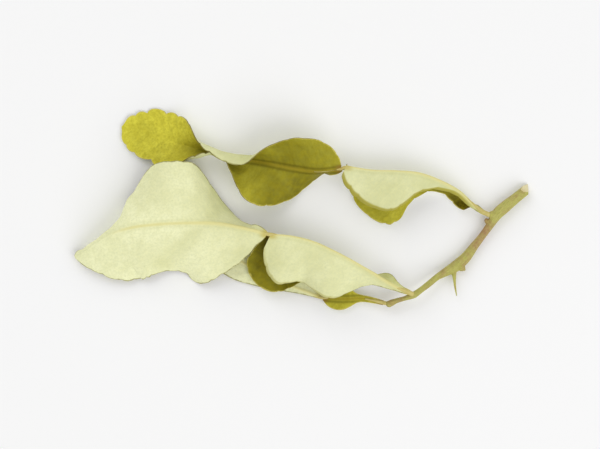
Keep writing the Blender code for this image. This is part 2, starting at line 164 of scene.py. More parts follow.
def tint(red: int, green: int, blue: int) -> Colour:
    """Turns an eight bit screen colour into a linear one."""
    shares = (value / 255 for value in (red, green, blue))
    return tuple(c / 12.92 if c < 0.04045 else ((c + 0.055) / 1.055) ** 2.4 for c in shares)


class Face(Enum):
    """The side of a leaf that looks up where it leaves its rib."""

    UPPER = "upper"
    UNDER = "under"


@dataclass(frozen=True)
class Hem:
    """A margin that rolls.

    start, end: places along the rib, mm. width: how much of the margin rolls, mm. turn: how far, degrees.
    fade: over what length the roll begins and ends, mm. shade: how much painted shade deepens the colour
    there.
    """

    start: float
    end: float
    width: float
    turn: float
    shade: float
    fade: float = 4.0


@dataclass(frozen=True)
class Side:
    """One side of a leaf part.

    margin: points from base to tip, (place along the rib, width out from it), mm.
    bend: (place along the rib mm, slope at the rib deg, turn over the widest width deg).
    tone: (place along the rib mm, how deep the colour is at the rib, and at the margin), the deeper
    colour partly the leaf's own and partly painted shade where the part lies in shade.
    teeth: (place along the rib mm, how deep the teeth are there, as a share of the full depth).
    """

    margin: tuple
    bend: tuple
    tone: tuple
    teeth: tuple = ((0, 0),)
    shaded_hem: Hem | None = None


@dataclass(frozen=True)
class Crease:
    """A soft valley, or with a negative depth a ridge, pressed along a line seen from above, mm.

    shade: how much painted shade deepens the colour along it.
    """

    start: tuple[float, float]
    end: tuple[float, float]
    depth: float
    width: float
    shade: float = 0.0


@dataclass(frozen=True)
class LeafForm:
    """The form of a winged petiole or a blade, with what is particular to its surface.

    rib: points of its line, mm. rib_end: its length in the measure of the sides, mm. rows: along it, as in
    the solids. up: the face that looks up. vein_pitch: from wave to wave of the side veins, mm. rib_stop:
    at what share of the length the rib ends. winged: whether it is a petiole, with a joint at both ends.
    """

    name: str
    rib: tuple
    rib_end: float
    near: Side
    far: Side
    rows: int
    up: Face
    vein_pitch: float
    rib_stop: float = 1.3
    winged: bool = False
    creases: tuple[Crease, ...] = ()


# Each part's colour depth, by place along the rib, holds the leaf's own darker places and painted shade
# where the part lies in shade
LOWER_WING = LeafForm(
    name="lower_leaf_wing",
    rib=(
        (51.5, -1.2, 3.4), (48, 1.3, 4.2), (44.1, 4.8, 5.2), (39, 7.6, 6.2), (32.9, 9.8, 7),
        (26.7, 10.4, 7.2), (20, 10.6, 7.1), (12.6, 11.8, 6.8),
    ),
    rib_end=42.6,
    near=Side(
        margin=(
            (0, 0.8), (6, 1.35), (11.7, 1.8), (16, 3), (20, 5.2), (23.1, 7.4), (25.9, 9.7),
            (27.9, 11.5), (30.6, 12.3), (33.8, 11.6), (35.9, 10.4), (37.9, 9), (40, 7.4), (42.2, 5.4),
            (43.4, 3.1),
        ),
        bend=(
            (0, 0, 0), (4, 4, -10), (8, 6, -40), (12, 8, -52), (17, 6, -52), (22, 14, -54), (29, 32, -66),
            (36, 32, -66), (43, 26, -50),
        ),
        tone=(
            (0, 0.95, 0.95), (6, 0.8, 0.8), (12, 0.46, 0.48), (20, 0.4, 0.4), (34, 0.38, 0.38),
            (43, 0.42, 0.42),
        ),
        teeth=((0, 0.4),),
        shaded_hem=Hem(start=3, end=46, width=1.5, turn=-55, shade=1),
    ),
    far=Side(
        margin=(
            (0, 0.6), (2, 0.8), (3.6, 2.2), (5.2, 3.9), (7.5, 5), (9.8, 4.7), (12.6, 4.1),
            (15.4, 4.8), (18.2, 7.2), (21, 9.8), (24.4, 12.4), (26.2, 14.8), (28, 16.2), (30.2, 16.5),
            (32.4, 16.2), (34.6, 15), (36.8, 13.1), (39.6, 10), (41.8, 6), (42.6, 1.8),
        ),
        bend=(
            (0, -60, 0), (2, -140, -40), (4.5, -138, -70), (7, -124, -84), (12, -122, -90), (17, -120, -80),
            (22, -122, -70), (30, -130, -64), (36, -126, -70), (43, -116, -80),
        ),
        tone=((0, 1, 1), (11, 1, 0.9), (17, 0.65, 0.5), (24, 0.38, 0.32), (43, 0.38, 0.35)),
        teeth=((0, 0.6),),
    ),
    rows=37,
    up=Face.UNDER,
    winged=True,
    vein_pitch=4.6,
)

LOWER_BLADE = LeafForm(
    name="lower_leaf_blade",
    rib=(
        (11.5, 11.1, 6.7), (5.4, 10.3, 6.4), (-2.2, 11.3, 5.4), (-12.6, 13.3, 3.6), (-19.6, 14.2, 2.5),
        (-27, 16.2, 1.7), (-34.6, 18.6, 1), (-42, 21, 0.7), (-50.1, 23, 0.85),
    ),
    rib_end=63.4,
    near=Side(
        margin=(
            (0, 0.8), (2, 1.8), (5, 3.4), (8, 5), (10, 6.6), (11.7, 8.2), (13.7, 9.5),
            (16.1, 10.7), (18.5, 11.7), (21.1, 12.2), (23.9, 11.9), (27, 10.8), (29.6, 8.2), (32, 5.4),
            (34.2, 4.4), (36.8, 4.8), (40, 7.2), (44, 8.8), (50.5, 8.3), (53.3, 7.6), (57.3, 7.1),
            (60.6, 5.6), (62.7, 3.1), (63.4, 0.9),
        ),
        bend=(
            (0, -80, -60), (5, -74, -80), (8, -56, -30), (12, -28, -15), (16, -6, -5), (23, 5, 10),
            (27, 8, 40), (30.5, 26, 115), (33.5, 66, 145), (37, 66, 150), (40, 26, 180), (43, 24, 100),
            (47, 20, 26), (52, 8, 10), (63, 5, 10),
        ),
        tone=(
            (0, 0.72, 0.72), (8, 0.58, 0.72), (14, 0.56, 0.84), (21, 0.6, 0.76), (26, 0.44, 0.42),
            (32, 0.7, 0.6), (38, 0.62, 0.44), (43, 0.36, 0.18), (48, 0.14, 0.1), (63, 0.04, 0.04),
        ),
        teeth=((0, 0.4), (26, 0.45), (44, 1.1), (63, 1.1)),
    ),
    far=Side(
        margin=(
            (0, 0.8), (0.2, 3.2), (2.3, 7.2), (5, 9), (10.4, 9.9), (13, 10), (15.3, 9.5),
            (17.8, 8.7), (21, 7.9), (25, 7.1), (29, 7.6), (35, 6.7), (42, 7.5), (45, 8.1),
            (47.6, 7.8), (51.5, 7.7), (54.5, 7.5), (56.7, 6.9), (58.6, 5.8), (60.6, 4.5), (62.4, 2.8),
            (63.4, 0.9),
        ),
        bend=(
            (0, 10, 10), (6, 12, 15), (12, 16, 25), (18, 20, 45), (22.5, 38, 75), (26, 38, 172),
            (30, 38, 185), (34, 38, 188), (37.5, 34, 168), (40, 42, 110), (43, 45, 40), (47, 20, 15),
            (52, 4, 0), (63, 0, 0),
        ),
        tone=(
            (0, 0.56, 0.48), (8, 0.6, 0.5), (16, 0.68, 0.56), (22, 0.7, 0.6), (28, 0.74, 0.62),
            (36, 0.6, 0.44), (41, 0.34, 0.16), (46, 0.14, 0.06), (63, 0.04, 0.02),
        ),
        teeth=((0, 0.25), (28, 0.3), (42, 1.1), (54, 1.2), (58, 1.9), (62, 1.2)),
    ),
    rows=52,
    up=Face.UPPER,
    rib_stop=0.66,
    vein_pitch=5.4,
    creases=(
        Crease(start=(-8.3, 17.6), end=(2.1, 16), depth=0.25, width=1.2),
        Crease(start=(-4.1, 5.9), end=(-8.6, 4.5), depth=0.2, width=1.2),
    ),
)

MIDDLE_WING = LeafForm(
    name="middle_leaf_wing",
    rib=(
        (30.3, -23.3, 5.1), (26.7, -21.8, 6.3), (19.4, -17.4, 8.4), (8.8, -11.6, 9.9), (3.5, -9.2, 9.9),
        (-2.4, -7.7, 9.4), (-8.3, -7.1, 8.9),
    ),
    rib_end=42.6,
    near=Side(
        margin=(
            (0, 0.8), (5, 1.4), (9.5, 3), (12.2, 5.3), (14.2, 8.1), (15.7, 10.5), (17.6, 12.3),
            (19.6, 13.1), (21.4, 13.4), (24.5, 13.6), (28.5, 14.3), (33.5, 14.2), (36.8, 14.7),
            (40.1, 14.4), (42.2, 12.4), (43.5, 9.6), (44.2, 6.4), (44.3, 4.2),
        ),
        bend=(
            (0, -5, 0), (4, -16, 0), (9, -24, -6), (14, -14, -26), (21, 14, -50), (29, 10, -76),
            (36, 14, -62), (41, 8, -40), (43, 2, -34),
        ),
        tone=((0, 0.48, 0.48), (10, 0.36, 0.36), (22, 0.26, 0.28), (34, 0.32, 0.34), (44, 0.4, 0.42)),
        teeth=((0, 0.35),),
        shaded_hem=Hem(start=15, end=46, width=1.2, turn=-45, shade=0.55),
    ),
    far=Side(
        margin=(
            (0, 0.8), (2.5, 1), (5, 1.9), (7.1, 2.9), (9, 3.5), (11.5, 4.3), (14.5, 5.8),
            (20, 9.6), (27, 12.6), (32, 14.8), (35.5, 16.7), (38.7, 17.7), (42, 17.9), (45, 16.9),
            (47.3, 14.8), (48.9, 12), (49.1, 9.8), (47.4, 6.2), (45.4, 2.8),
        ),
        bend=(
            (0, 0, 0), (5, -6, -6), (8, -50, -30), (11, -98, -60), (15, -116, -70), (21, -122, -66),
            (33, -126, -66), (42, -128, -64), (50, -128, -62),
        ),
        tone=(
            (0, 0.6, 0.75), (6, 0.75, 0.85), (12, 0.8, 0.8), (22, 0.85, 0.75), (34, 1, 0.9),
            (50, 1, 0.7),
        ),
        teeth=((0, 0.35),),
    ),
    rows=37,
    up=Face.UNDER,
    winged=True,
    vein_pitch=4.8,
)

MIDDLE_BLADE = LeafForm(
    name="middle_leaf_blade",
    rib=(
        (-9.4, -7, 8.9), (-14.2, -5.7, 9.5), (-22.3, -4.2, 10), (-31, -3.9, 10.2),
        (-39.9, -4.3, 10), (-46.4, -5.1, 9.3), (-51.8, -6.7, 8), (-57.2, -9.8, 5.6),
        (-62.84, -13.74, 2.6),
    ),
    rib_end=58,
    near=Side(
        margin=(
            (0, 1), (0.8, 2.4), (2.8, 6.5), (5, 10.1), (7.1, 12.4), (9.2, 14.5), (12.5, 16.8),
            (16.4, 18.5), (19, 19.3), (21.2, 19.1), (22.5, 18.2), (23.3, 17.1), (24.8, 16.7),
            (28.8, 16.2), (32.3, 15.8), (38.5, 16.2), (44.7, 16.3), (49.3, 14.8), (52, 12.5),
            (54, 10.2), (55.2, 7.8), (56.6, 5.2), (57.6, 2.5), (58, 0.8),
        ),
        bend=(
            (0, -14, -10), (10, -15.2, -20), (17, -14.85, -21), (24, -17, -38), (29, -17, -40),
            (36, -18, -20), (45, -16, -18), (51, -10, -16), (58, -6, 0),
        ),
        tone=(
            (0, 0.36, 0.36), (10, 0.24, 0.26), (20, 0.06, 0.12), (30, 0.04, 0.14), (46, 0.02, 0.08),
            (58, 0.06, 0.12),
        ),
        teeth=((0, 0.5),),
    ),
    far=Side(
        margin=(
            (0, 0.8), (1.6, 1.7), (5, 3.8), (7.7, 5.8), (10.3, 8.1), (12.7, 9.9), (14.7, 11.2),
            (16.4, 12.4), (17.9, 13.9), (19.3, 15.5), (21.1, 16.7), (24.1, 17.3), (28, 17.4),
            (30.8, 17.2), (33.4, 16), (37, 13.4), (41, 10.6), (46, 8.6), (52, 5.8), (56, 3.2),
            (58, 0.8),
        ),
        bend=(
            (0, -50, 0), (3, -64, 0), (7, -70, -10), (10, -60, -20), (14, -40, -20), (18, -12, -14),
            (21, 4, -10), (25, 9, -14), (30, 9, -34), (34, 6, -64), (37, 0, -100), (39, -2, -126),
            (41, -12, -200), (44, -30, -266), (49, -42, -350), (54, -45, -380), (58, -45, -380),
        ),
        tone=(
            (0, 0.2, 0.4), (10, 0.16, 0.46), (16, 0.12, 0.36), (21, 0.16, 0.24), (34, 0.12, 0.12),
            (46, 0.12, 0.12), (58, 0.1, 0.1),
        ),
        teeth=((0, 0.35),),
    ),
    rows=52,
    up=Face.UNDER,
    rib_stop=0.8,
    vein_pitch=5.6,
    creases=(
        Crease(start=(-24.5, -1.5), end=(-37.5, -15), depth=0.35, width=2.6, shade=0.22),
        Crease(start=(-32.9, 10.1), end=(-23.1, -1.4), depth=-0.05, width=1.5),
    ),
)

TOP_WING = LeafForm(
    name="top_leaf_wing",
    rib=(
        (23.1, -26.2, 2.9), (20.2, -25.5, 2.5), (17.2, -25, 2.2), (13.8, -25.1, 2.1), (10.5, -25.1, 2),
        (6.2, -24.8, 1.7),
    ),
    rib_end=16.9,
    near=Side(
        margin=(
            (0, 0.7), (3.4, 0.9), (5.4, 1), (7.8, 1.4), (9.4, 2.3), (11.3, 3.1), (13.3, 3.1),
            (15.6, 2.1), (16.9, 0.7),
        ),
        bend=((0, -10, 0), (7, -20, 0), (12, -12, 20), (17, -10, 0)),
        tone=((0, 0.3, 0.3), (8, 0.1, 0.1), (17, 0.3, 0.3)),
    ),
    far=Side(
        margin=(
            (0, 0.7), (3.4, 0.9), (7, 1.3), (9.4, 3), (12, 4), (14.4, 3.8), (16.2, 2.4),
            (16.9, 0.7),
        ),
        bend=((0, 0, 0), (7, 10, 0), (12, 6, 10), (17, 0, 0)),
        tone=((0, 0.3, 0.3), (8, 0.1, 0.1), (17, 0.3, 0.3)),
    ),
    rows=18,
    up=Face.UPPER,
    winged=True,
    vein_pitch=3.6,
)

TOP_BLADE = LeafForm(
    name="top_leaf_blade",
    rib=(
        (5.7, -24.6, 1.5), (-0.2, -22.4, 1.2), (-7.2, -19.6, 1.1), (-14.2, -16, 1.1), (-21.2, -12, 1.3),
        (-27, -9.4, 1.6),
    ),
    rib_end=36.2,
    near=Side(
        margin=(
            (0, 0.6), (5, 1.2), (11, 2.4), (18, 4.2), (25, 5.6), (31, 5), (34.6, 2.8),
            (36.2, 0.6),
        ),
        bend=((0, -8, 0), (18, -2, -4), (36, 0, 0)),
        tone=((0, 0.05, 0.05), (36, 0.05, 0.05)),
    ),
    far=Side(
        margin=(
            (0, 0.6), (3, 3), (9, 5.4), (17, 6.6), (25, 6.4), (31, 4.8), (34.6, 2.6),
            (36.2, 0.6),
        ),
        bend=((0, 4, 0), (18, 6, -6), (36, 4, 0)),
        tone=((0, 0.05, 0.05), (36, 0.05, 0.05)),
    ),
    rows=26,
    up=Face.UNDER,
    vein_pitch=4.4,
)

LEAF_FORMS = (LOWER_WING, LOWER_BLADE, MIDDLE_WING, MIDDLE_BLADE, TOP_WING, TOP_BLADE)

# The twig's centre line, cut end first: x, y, z, radius in mm
TWIG_LINE = (
    (65.2, 7.1, 1.75, 1.38), (60.2, 3.1, 1.85, 1.4), (57.1, 0.6, 2, 1.6), (54.8, -1.5, 2.15, 1.56),
    (52.95, -4.4, 2.05, 1.14), (50.6, -7.7, 1.9, 1.02), (48.5, -10.4, 1.7, 1.16), (45.9, -13.8, 1.6, 1.48),
    (43.6, -15.8, 1.6, 1.56), (40.2, -17.8, 2.1, 1.14), (38.3, -18.9, 2.6, 0.9), (35.5, -21.1, 3.35, 0.85),
    (33.5, -22.6, 3.85, 0.8), (31.6, -23.9, 4.2, 0.9), (29.1, -24.9, 3.95, 0.64),
    (26.7, -25.6, 3.5, 0.7), (24.8, -26.4, 3.1, 0.84), (24.3, -26.6, 3, 0.62),
)
THORN_LINE = (
    (42.8, -17.4, 1.7, 0.85), (42.9, -18.6, 1.82, 0.6), (43, -19.9, 1.95, 0.42),
    (43.12, -21.3, 2.08, 0.32), (43.33, -22.8, 2.25, 0.24), (43.62, -24.35, 2.38, 0.13),
)
LEDGE_LINE = ((44.9, -16.2, 1.8, 1.1), (45.5, -16.75, 1.8, 0.66), (46, -17.2, 1.8, 0.24))


def smooth(knots: Sequence[float], values: Sequence, at: Array) -> Array:
    """Reads a smooth curve through knots.

    Args:
        knots: rising places of the knots.
        values: a row of numbers for each knot.
        at: the places asked for.

    Returns:
        The rows there, on a cubic through the knots.
    """
    x = np.asarray(knots, float)
    y = np.asarray(values, float)
    slope = np.gradient(y, x, axis=0)
    at = np.clip(np.asarray(at, float), x[0], x[-1])
    i = np.clip(np.searchsorted(x, at, side="right") - 1, 0, len(x) - 2)
    gap = (x[i + 1] - x[i])[..., None]
    t = (at - x[i])[..., None] / gap
    start = (1 + 2 * t) * (1 - t) ** 2 * y[i] + t * (1 - t) ** 2 * gap * slope[i]
    return start + t**2 * (3 - 2 * t) * y[i + 1] + t**2 * (t - 1) * gap * slope[i + 1]


def read_rows(rows: Sequence, at: Array) -> Array:
    """Reads a smooth curve through rows that each begin with their place."""
    table = np.asarray(rows, float)
    return smooth(table[:, 0], table[:, 1:], at)


def ease(value: Array) -> Array:
    """Runs smoothly from 0 to 1 as the value does."""
    part = np.clip(value, 0, 1)
    return part * part * (3 - 2 * part)


def begins(value: Array, start_and_fade: tuple[float, float]) -> Array:
    """Runs smoothly from 0 at a start to 1 after a fade."""
    start, fade = start_and_fade
    return ease((value - start) / fade)


def bell(value: Array) -> Array:
    """Falls from 1 at zero towards 0 on both sides."""
    return np.exp(-(value**2))


def unit(vectors: Array) -> Array:
    """Brings vectors to a length of 1."""
    return vectors / np.maximum(np.linalg.norm(vectors, axis=-1, keepdims=True), TINY)


def even_curve(points: Sequence, count: int) -> tuple[Array, float]:
    """Lays a smooth curve through points.

    Args:
        points: the given points.
        count: how many points to put out.

    Returns:
        Points at equal steps along the curve, and its length.
    """
    given = np.asarray(points, float)
    chord = np.r_[0, np.cumsum(np.linalg.norm(np.diff(given, axis=0), axis=1))]
    fine = smooth(chord, given, np.linspace(0, chord[-1], CURVE_SAMPLES))
    run = np.r_[0, np.cumsum(np.linalg.norm(np.diff(fine, axis=0), axis=1))]
    steps = np.linspace(0, run[-1], count)
    even = np.stack([np.interp(steps, run, fine[:, k]) for k in range(given.shape[1])], -1)
    return even, float(run[-1])


def cross_axes(ahead: Array) -> tuple[Array, Array]:
    """Finds the level sideways direction and the upward one across directions of travel."""
    side = unit(np.cross(UPWARD, ahead))
    return side, np.cross(ahead, side)


def clear_selection() -> None:
    """Leaves object mode with nothing selected."""
    if bpy.context.object is not None and bpy.context.object.mode != "OBJECT":
        bpy.ops.object.mode_set(mode="OBJECT")
    bpy.ops.object.select_all(action="DESELECT")


def make_active(item: Object) -> None:
    """Selects one object alone and makes it the active one."""
    clear_selection()
    item.select_set(True)
    bpy.context.view_layer.objects.active = item


@contextmanager
def editing(item: Object) -> Iterator[None]:
    """Opens an object's whole mesh for editing, and closes it afterwards.

    Args:
        item: the object.
    """
    make_active(item)
    bpy.ops.object.mode_set(mode="EDIT")
    bpy.ops.mesh.select_all(action="SELECT")
    yield
    bpy.ops.object.mode_set(mode="OBJECT")


def apply_modifier(item: Object, kind: str, **settings: object) -> None:
    """Adds a modifier with its settings and applies it.

    Args:
        item: the object.
        kind: the modifier's type.
        settings: its properties.
    """
    make_active(item)
    step = item.modifiers.new(kind.lower(), kind)
    for name, value in settings.items():
        setattr(step, name, value)
    bpy.ops.object.modifier_apply(modifier=step.name)


def grid_sheet(name: str, placed: Array) -> Object:
    """Adds a grid and moves its points to their places.

    Args:
        name: the object's name.
        placed: rows by columns of points, mm.

    Returns:
        The object, whose vertex order is that of the rows of the array.
    """
    rows, across = placed.shape[:2]
    clear_selection()
    bpy.ops.mesh.primitive_grid_add(x_subdivisions=across - 1, y_subdivisions=rows - 1, size=2)
    item = bpy.context.active_object
    item.name = name
    item.data.name = name
    item.data.vertices.foreach_set("co", ((placed + SHIFT) * MM).ravel())
    item.data.update()
    return item


def keep_measure(item: Object, name: str, values: Array) -> None:
    """Stores one number for each vertex, which the materials read."""
    layer = item.data.attributes.new(name, "FLOAT", "POINT")
    layer.data.foreach_set("value", np.asarray(values, np.float32).ravel())


def tube(name: str, line: Sequence, rows: int, around: int, ridges: float = 0.0) -> Object:
    """Rolls a grid into a closed tube on a line.

    Args:
        name: the object's name.
        line: rows of x, y, z and radius, mm.
        rows: how many rings.
        around: how many points in a ring.
        ridges: how far its long ridges stand out, as a share of the radius.

    Returns:
        The object, with its ends filled.
    """
    path, _ = even_curve(line, rows)
    centre = path[:, :3]
    side, up = cross_axes(unit(np.gradient(centre, axis=0)))
    angle = np.linspace(0, 2 * math.pi, around + 1)
    wave = 1 + ridges * sum(share * np.cos(count * angle + start) for count, start, share in RING_RIDGES)
    reach = (path[:, 3:] * wave)[..., None]
    spokes = np.cos(angle)[:, None] * side[:, None] + np.sin(angle)[:, None] * up[:, None]
    item = grid_sheet(name, centre[:, None] + reach * spokes)
    with editing(item):
        bpy.ops.mesh.remove_doubles(threshold=WELD)
        bpy.ops.mesh.fill_holes(sides=0)
        bpy.ops.mesh.normals_make_consistent(inside=False)
    return item


class Rib:
    """The rib line of a leaf part, with the level sideways direction and the upward one."""

    def __init__(self, points: Sequence) -> None:
        """Lays the line through its points, mm."""
        self.line, self.length = even_curve(points, CURVE_SAMPLES)
        self.places = np.linspace(0, self.length, CURVE_SAMPLES)

    def point(self, along: Array) -> Array:
        """Finds the points of the line at places along it."""
        inside = np.clip(along, 0, self.length)
        return np.stack([np.interp(inside, self.places, self.line[:, k]) for k in range(3)], -1)

    def frame(self, along: Array) -> tuple[Array, Array, Array]:
        """Finds where the line is and which way it faces.

        Args:
            along: places along it, mm, also past its ends.

        Returns:
            The point, the sideways direction and the upward direction at each place.
        """
        inside = np.clip(along, TANGENT_REACH, self.length - TANGENT_REACH)
        ahead = unit(self.point(inside + TANGENT_REACH) - self.point(inside - TANGENT_REACH))
        past = (along - np.clip(along, 0, self.length))[..., None]
        return self.point(along) + past * ahead, *cross_axes(ahead)


@dataclass
class LeafSheet:
    """One leaf part of its real thinness, with its ribs, and the measures that its finishes read."""

    form: LeafForm
    columns: int = 36

    def margin(self, side: Side, rib: Rib) -> Array:
        """Finds the margin of one side, with the teeth cut in.

        Args:
            side: the side.
            rib: the rib line.

        Returns:
            For each row the margin's place along the rib and out from it, mm.
        """
        rows = (self.form.rows - 1) * ROW_SPLIT + 1
        scale = np.array((rib.length / self.form.rib_end, 1.0))
        line, _ = even_curve(np.asarray(side.margin) * scale, rows)
        place = np.arange(rows) / ROW_SPLIT
        tooth = (place + TOOTH_WANDER * np.sin(TOOTH_WANDER_RATE * place)) / TOOTH_ROWS
        depth = TOOTH_DEPTH * (1 + TOOTH_UNEVEN * np.sin(TOOTH_UNEVEN_RATE * tooth))
        notch = (1 - np.sqrt(np.abs(np.sin(math.pi * tooth)))) * depth
        outward = unit(np.gradient(line, axis=0)[:, ::-1] * np.array((-1.0, 1.0)))
        fade = np.clip(line[:, 1] / (TOOTH_FADE * line[:, 1].max()), 0, 1)
        share = np.interp(line[:, 0] / scale[0], *np.transpose(side.teeth))
        return line - outward * (notch * fade * share + MARGIN_INSET)[:, None]

    def half(self, rib: Rib, side: Side, mirror: bool) -> dict[str, Array]:
        """Bends one side of the leaf part from its rib to its margin.

        Args:
            rib: the rib line.
            side: the side's margin and bend.
            mirror: whether it is the far side.

        Returns:
            The points, and for each its place along, its way out and to the margin, mm, its colour depth
            with painted shade, and the painted shade of its rolled margin.
        """
        margin = self.margin(side, rib)
        width = margin[:, 1:]
        steps = np.linspace(0, 1, self.columns + 1)
        share = (steps - DENSE_ENDS * np.sin(2 * math.pi * steps) / (2 * math.pi))[None, :]
        along = np.linspace(0, rib.length, len(margin))[:, None] * (1 - share) + margin[:, :1] * share
        out, edge = width * share, width * (1 - share)
        bend = np.radians(read_rows(side.bend, along))
        slope = bend[..., 0] * np.clip(width / OPEN_WIDTH, 0, 1)
        turn = bend[..., 1] / width.max()
        held, roll, rolled = np.zeros_like(along), 0.0, 1.0
        if side.shaded_hem is not None:
            shaded_hem = side.shaded_hem
            held = ease((along - shaded_hem.start) / shaded_hem.fade) * ease((shaded_hem.end - along) / shaded_hem.fade)
            roll, rolled = np.radians(shaded_hem.turn) * held, shaded_hem.width
            # From here on held is the painted shade on the rolled margin, deepening its colour
            held = held * shaded_hem.shade * ease(HEM_SHADE_STEEP * (HEM_SHADE_REACH - edge / rolled))
        point, level, up = rib.frame(along)
        level = -level if mirror else level
        step = out / BEND_STEPS
        for i in range(BEND_STEPS):
            run = (i + 0.5) * step
            angle = slope + turn * run + roll * np.clip((run - width + rolled) / rolled, 0, 1)
            point = point + (np.cos(angle) * step)[..., None] * level
            point = point + (np.sin(angle) * step)[..., None] * up
        # The colour depth of the side: the leaf's own darker places and painted shade where the part lies
        # in shade
        tones_and_shade = read_rows(side.tone, along)
        tone = tones_and_shade[..., 0] * (1 - share) + tones_and_shade[..., 1] * share
        out = -out if mirror else out
        return {"point": point, "along": along, "out": out, "edge": edge, "tone": tone, "shaded_hem": held}

    def whole(self) -> dict[str, Array]:
        """Joins both sides at the rib, row by row, from the far margin to the near one.

        Returns:
            The points and their measures by name, each as rows by columns.
        """
        rib = Rib(self.form.rib)
        near = self.half(rib, self.form.near, False)
        far = self.half(rib, self.form.far, True)
        both = {key: np.concatenate([far[key][:, ::-1], near[key][:, 1:]], axis=1) for key in near}
        both["share"] = both["along"] / rib.length
        reach = np.abs(both["out"])
        stop = ease((self.form.rib_stop - both["share"]) / RIB_ENDS)
        both["rib"] = bell(reach / (RIB_WIDTH * (1 - RIB_NARROWS * ease(both["share"])))) * stop
        # Painted shade lines beside the midrib
        both["rib_flank_shade"] = bell((reach - RIB_SHADE_OUT) / RIB_SHADE_WIDTH) * stop
        # A crease also deepens the colour along it, as painted shade in its valley
        for crease in self.form.creases:
            both["tone"] = both["tone"] + crease.shade * self.press(crease, both)
        from_joint = both["along"]
        if self.form.winged:
            from_joint = np.minimum(from_joint, rib.length - from_joint)
        long, wide = (JOINT_LONG - from_joint) / JOINT_LONG_FADE, (JOINT_WIDE - reach) / JOINT_WIDE_FADE
        both["joint"] = ease(long) * ease(wide)
        return both

    def thickness(self, both: dict[str, Array]) -> tuple[Array, Array]:
        """Finds how thick the leaf is.

        Args:
            both: the measures of the whole sheet.

        Returns:
            The thickness, and how far the sheet's middle moves towards the underside, mm.
        """
        blade = MARGIN_THICK + (BLADE_THICK - MARGIN_THICK) * ease(both["edge"] / MARGIN_THINS)
        ridge = both["rib"] * (1 - RIB_LOWERS * ease(both["share"]))
        ridge = ridge * ease(both["edge"] / RIB_MARGIN + RIB_MARGIN_LEFT)
        return blade + ridge * (RIB_RISE - RIB_GROOVE), ridge * (RIB_RISE + RIB_GROOVE) / 2

    def press(self, crease: Crease, both: dict[str, Array]) -> Array:
        """Finds where a crease is felt.

        Args:
            crease: the crease.
            both: the measures of the whole sheet.

        Returns:
            How much it is felt at each point, from 0 to 1.
        """
        start, end = np.array(crease.start), np.array(crease.end)
        way = end - start
        from_start = both["point"][..., :2] - start
        run = np.clip(from_start @ way / (way @ way), 0, 1)
        away = np.linalg.norm(from_start - run[..., None] * way, axis=-1)
        inside = begins(both["edge"], CREASE_FROM_EDGE) * begins(np.abs(both["out"]), CREASE_FROM_RIB)
        return bell(away / crease.width) * inside

    def relief(self, both: dict[str, Array]) -> Array:
        """Finds the waves, swells and creases of the surface.

        Args:
            both: the measures of the whole sheet.

        Returns:
            How far each point stands up, mm.
        """
        reach = np.abs(both["out"])
        start = both["along"] - reach / math.tan(VEIN_ANGLE) - VEIN_CURVE * reach**2
        phase = start / self.form.vein_pitch + np.where(both["out"] < 0, VEIN_LAG, 0.0)
        x, y = both["point"][..., 0], both["point"][..., 1]
        first, second = (np.sin(by_x * x + by_y * y + begin) for by_x, by_y, begin in SWELLS)
        waves = SWELL_RISE * first * second - WAVE_RISE * np.cos(2 * math.pi * phase)
        sheet = waves * begins(reach, WAVE_FROM_RIB) * begins(both["edge"], WAVE_FROM_EDGE)
        return sheet - sum(crease.depth * self.press(crease, both) for crease in self.form.creases)

    def build(self) -> Object:
        """Bends a grid to the leaf part's form, gives it its thickness and stores its measures.

        Returns:
            The object, with three empty material slots: the face below, the face above and the rim.
        """
        both = self.whole()
        point = both["point"]
        normal = unit(np.cross(np.gradient(point, axis=0), np.gradient(point, axis=1)))
        thick, move = self.thickness(both)
        under_up = 1.0 if self.form.up is Face.UNDER else -1.0
        item = grid_sheet(self.form.name, point + normal * (under_up * move + self.relief(both))[..., None])
        for key in ("along", "out", "edge", "tone", "shaded_hem", "rib", "rib_flank_shade", "joint"):
            keep_measure(item, key, both[key])
        group = item.vertex_groups.new(name="thickness")
        thickest = float(thick.max())
        for index, weight in enumerate((thick / thickest).ravel()):
            group.add([index], float(weight), "REPLACE")
        item.data.shade_smooth()
        for _ in range(3):
            item.data.materials.append(None)
        apply_modifier(
            item, "SOLIDIFY", thickness=thickest * MM, offset=0.0, vertex_group=group.name,
            use_even_offset=False, material_offset=1, material_offset_rim=2,
        )
        item.vertex_groups.clear()
        item.data.set_sharp_from_angle(angle=LEAF_SHARP)
        return item

    def dress(self, item: Object, finishes: dict[Face, Material], rim: Material) -> None:
        """Gives each face of the leaf part its finish.

        Args:
            item: the leaf part.
            finishes: the material of each face.
            rim: the material of the margin's narrow edge.
        """
        below = Face.UPPER if self.form.up is Face.UNDER else Face.UNDER
        for slot, finish in enumerate((finishes[below], finishes[self.form.up], rim)):
            item.data.materials[slot] = finish


# Veins in colour: pitch, width, wandering and where they begin, mm, and the streaks that follow them
VEIN_PITCH = 5.0
VEIN_WIDTH = 0.3
VEIN_WANDER = 2.0
VEIN_WANDER_SCALE = 120.0
VEIN_FROM_EDGE = (0.6, 3.5)
VEIN_FROM_RIB = (0.2, 0.8)
STREAK_STRETCH = 0.22
STREAK_SCALE = 0.55
STREAK_SPAN = (0.36, 0.70)

# The oil glands and the net between them: how fine, and how wide dots and lines are beside a cell
GLAND_SCALE = 900.0
GLAND_SIZE = 0.25
NET_SCALE = 630.0
NET_WIDTH = 0.12

# Patches: how fine beside the scale that is asked for, and which span of the noise runs from 0 to 1
MOTTLE = {"Broad": (1.0, 0.36, 0.66), "Fine": (6.0, 0.36, 0.66), "Grain": (17.0, 0.36, 0.68)}

# What both faces of a leaf share: the size of patches, the rim's raggedness and width, mm, and uneven gloss
LEAF_MOTTLE_SCALE = 95.0
RIM_ROUGH = 0.25
RIM_SPAN = (0.10, 0.55)
ROUGH_SWING = 0.12


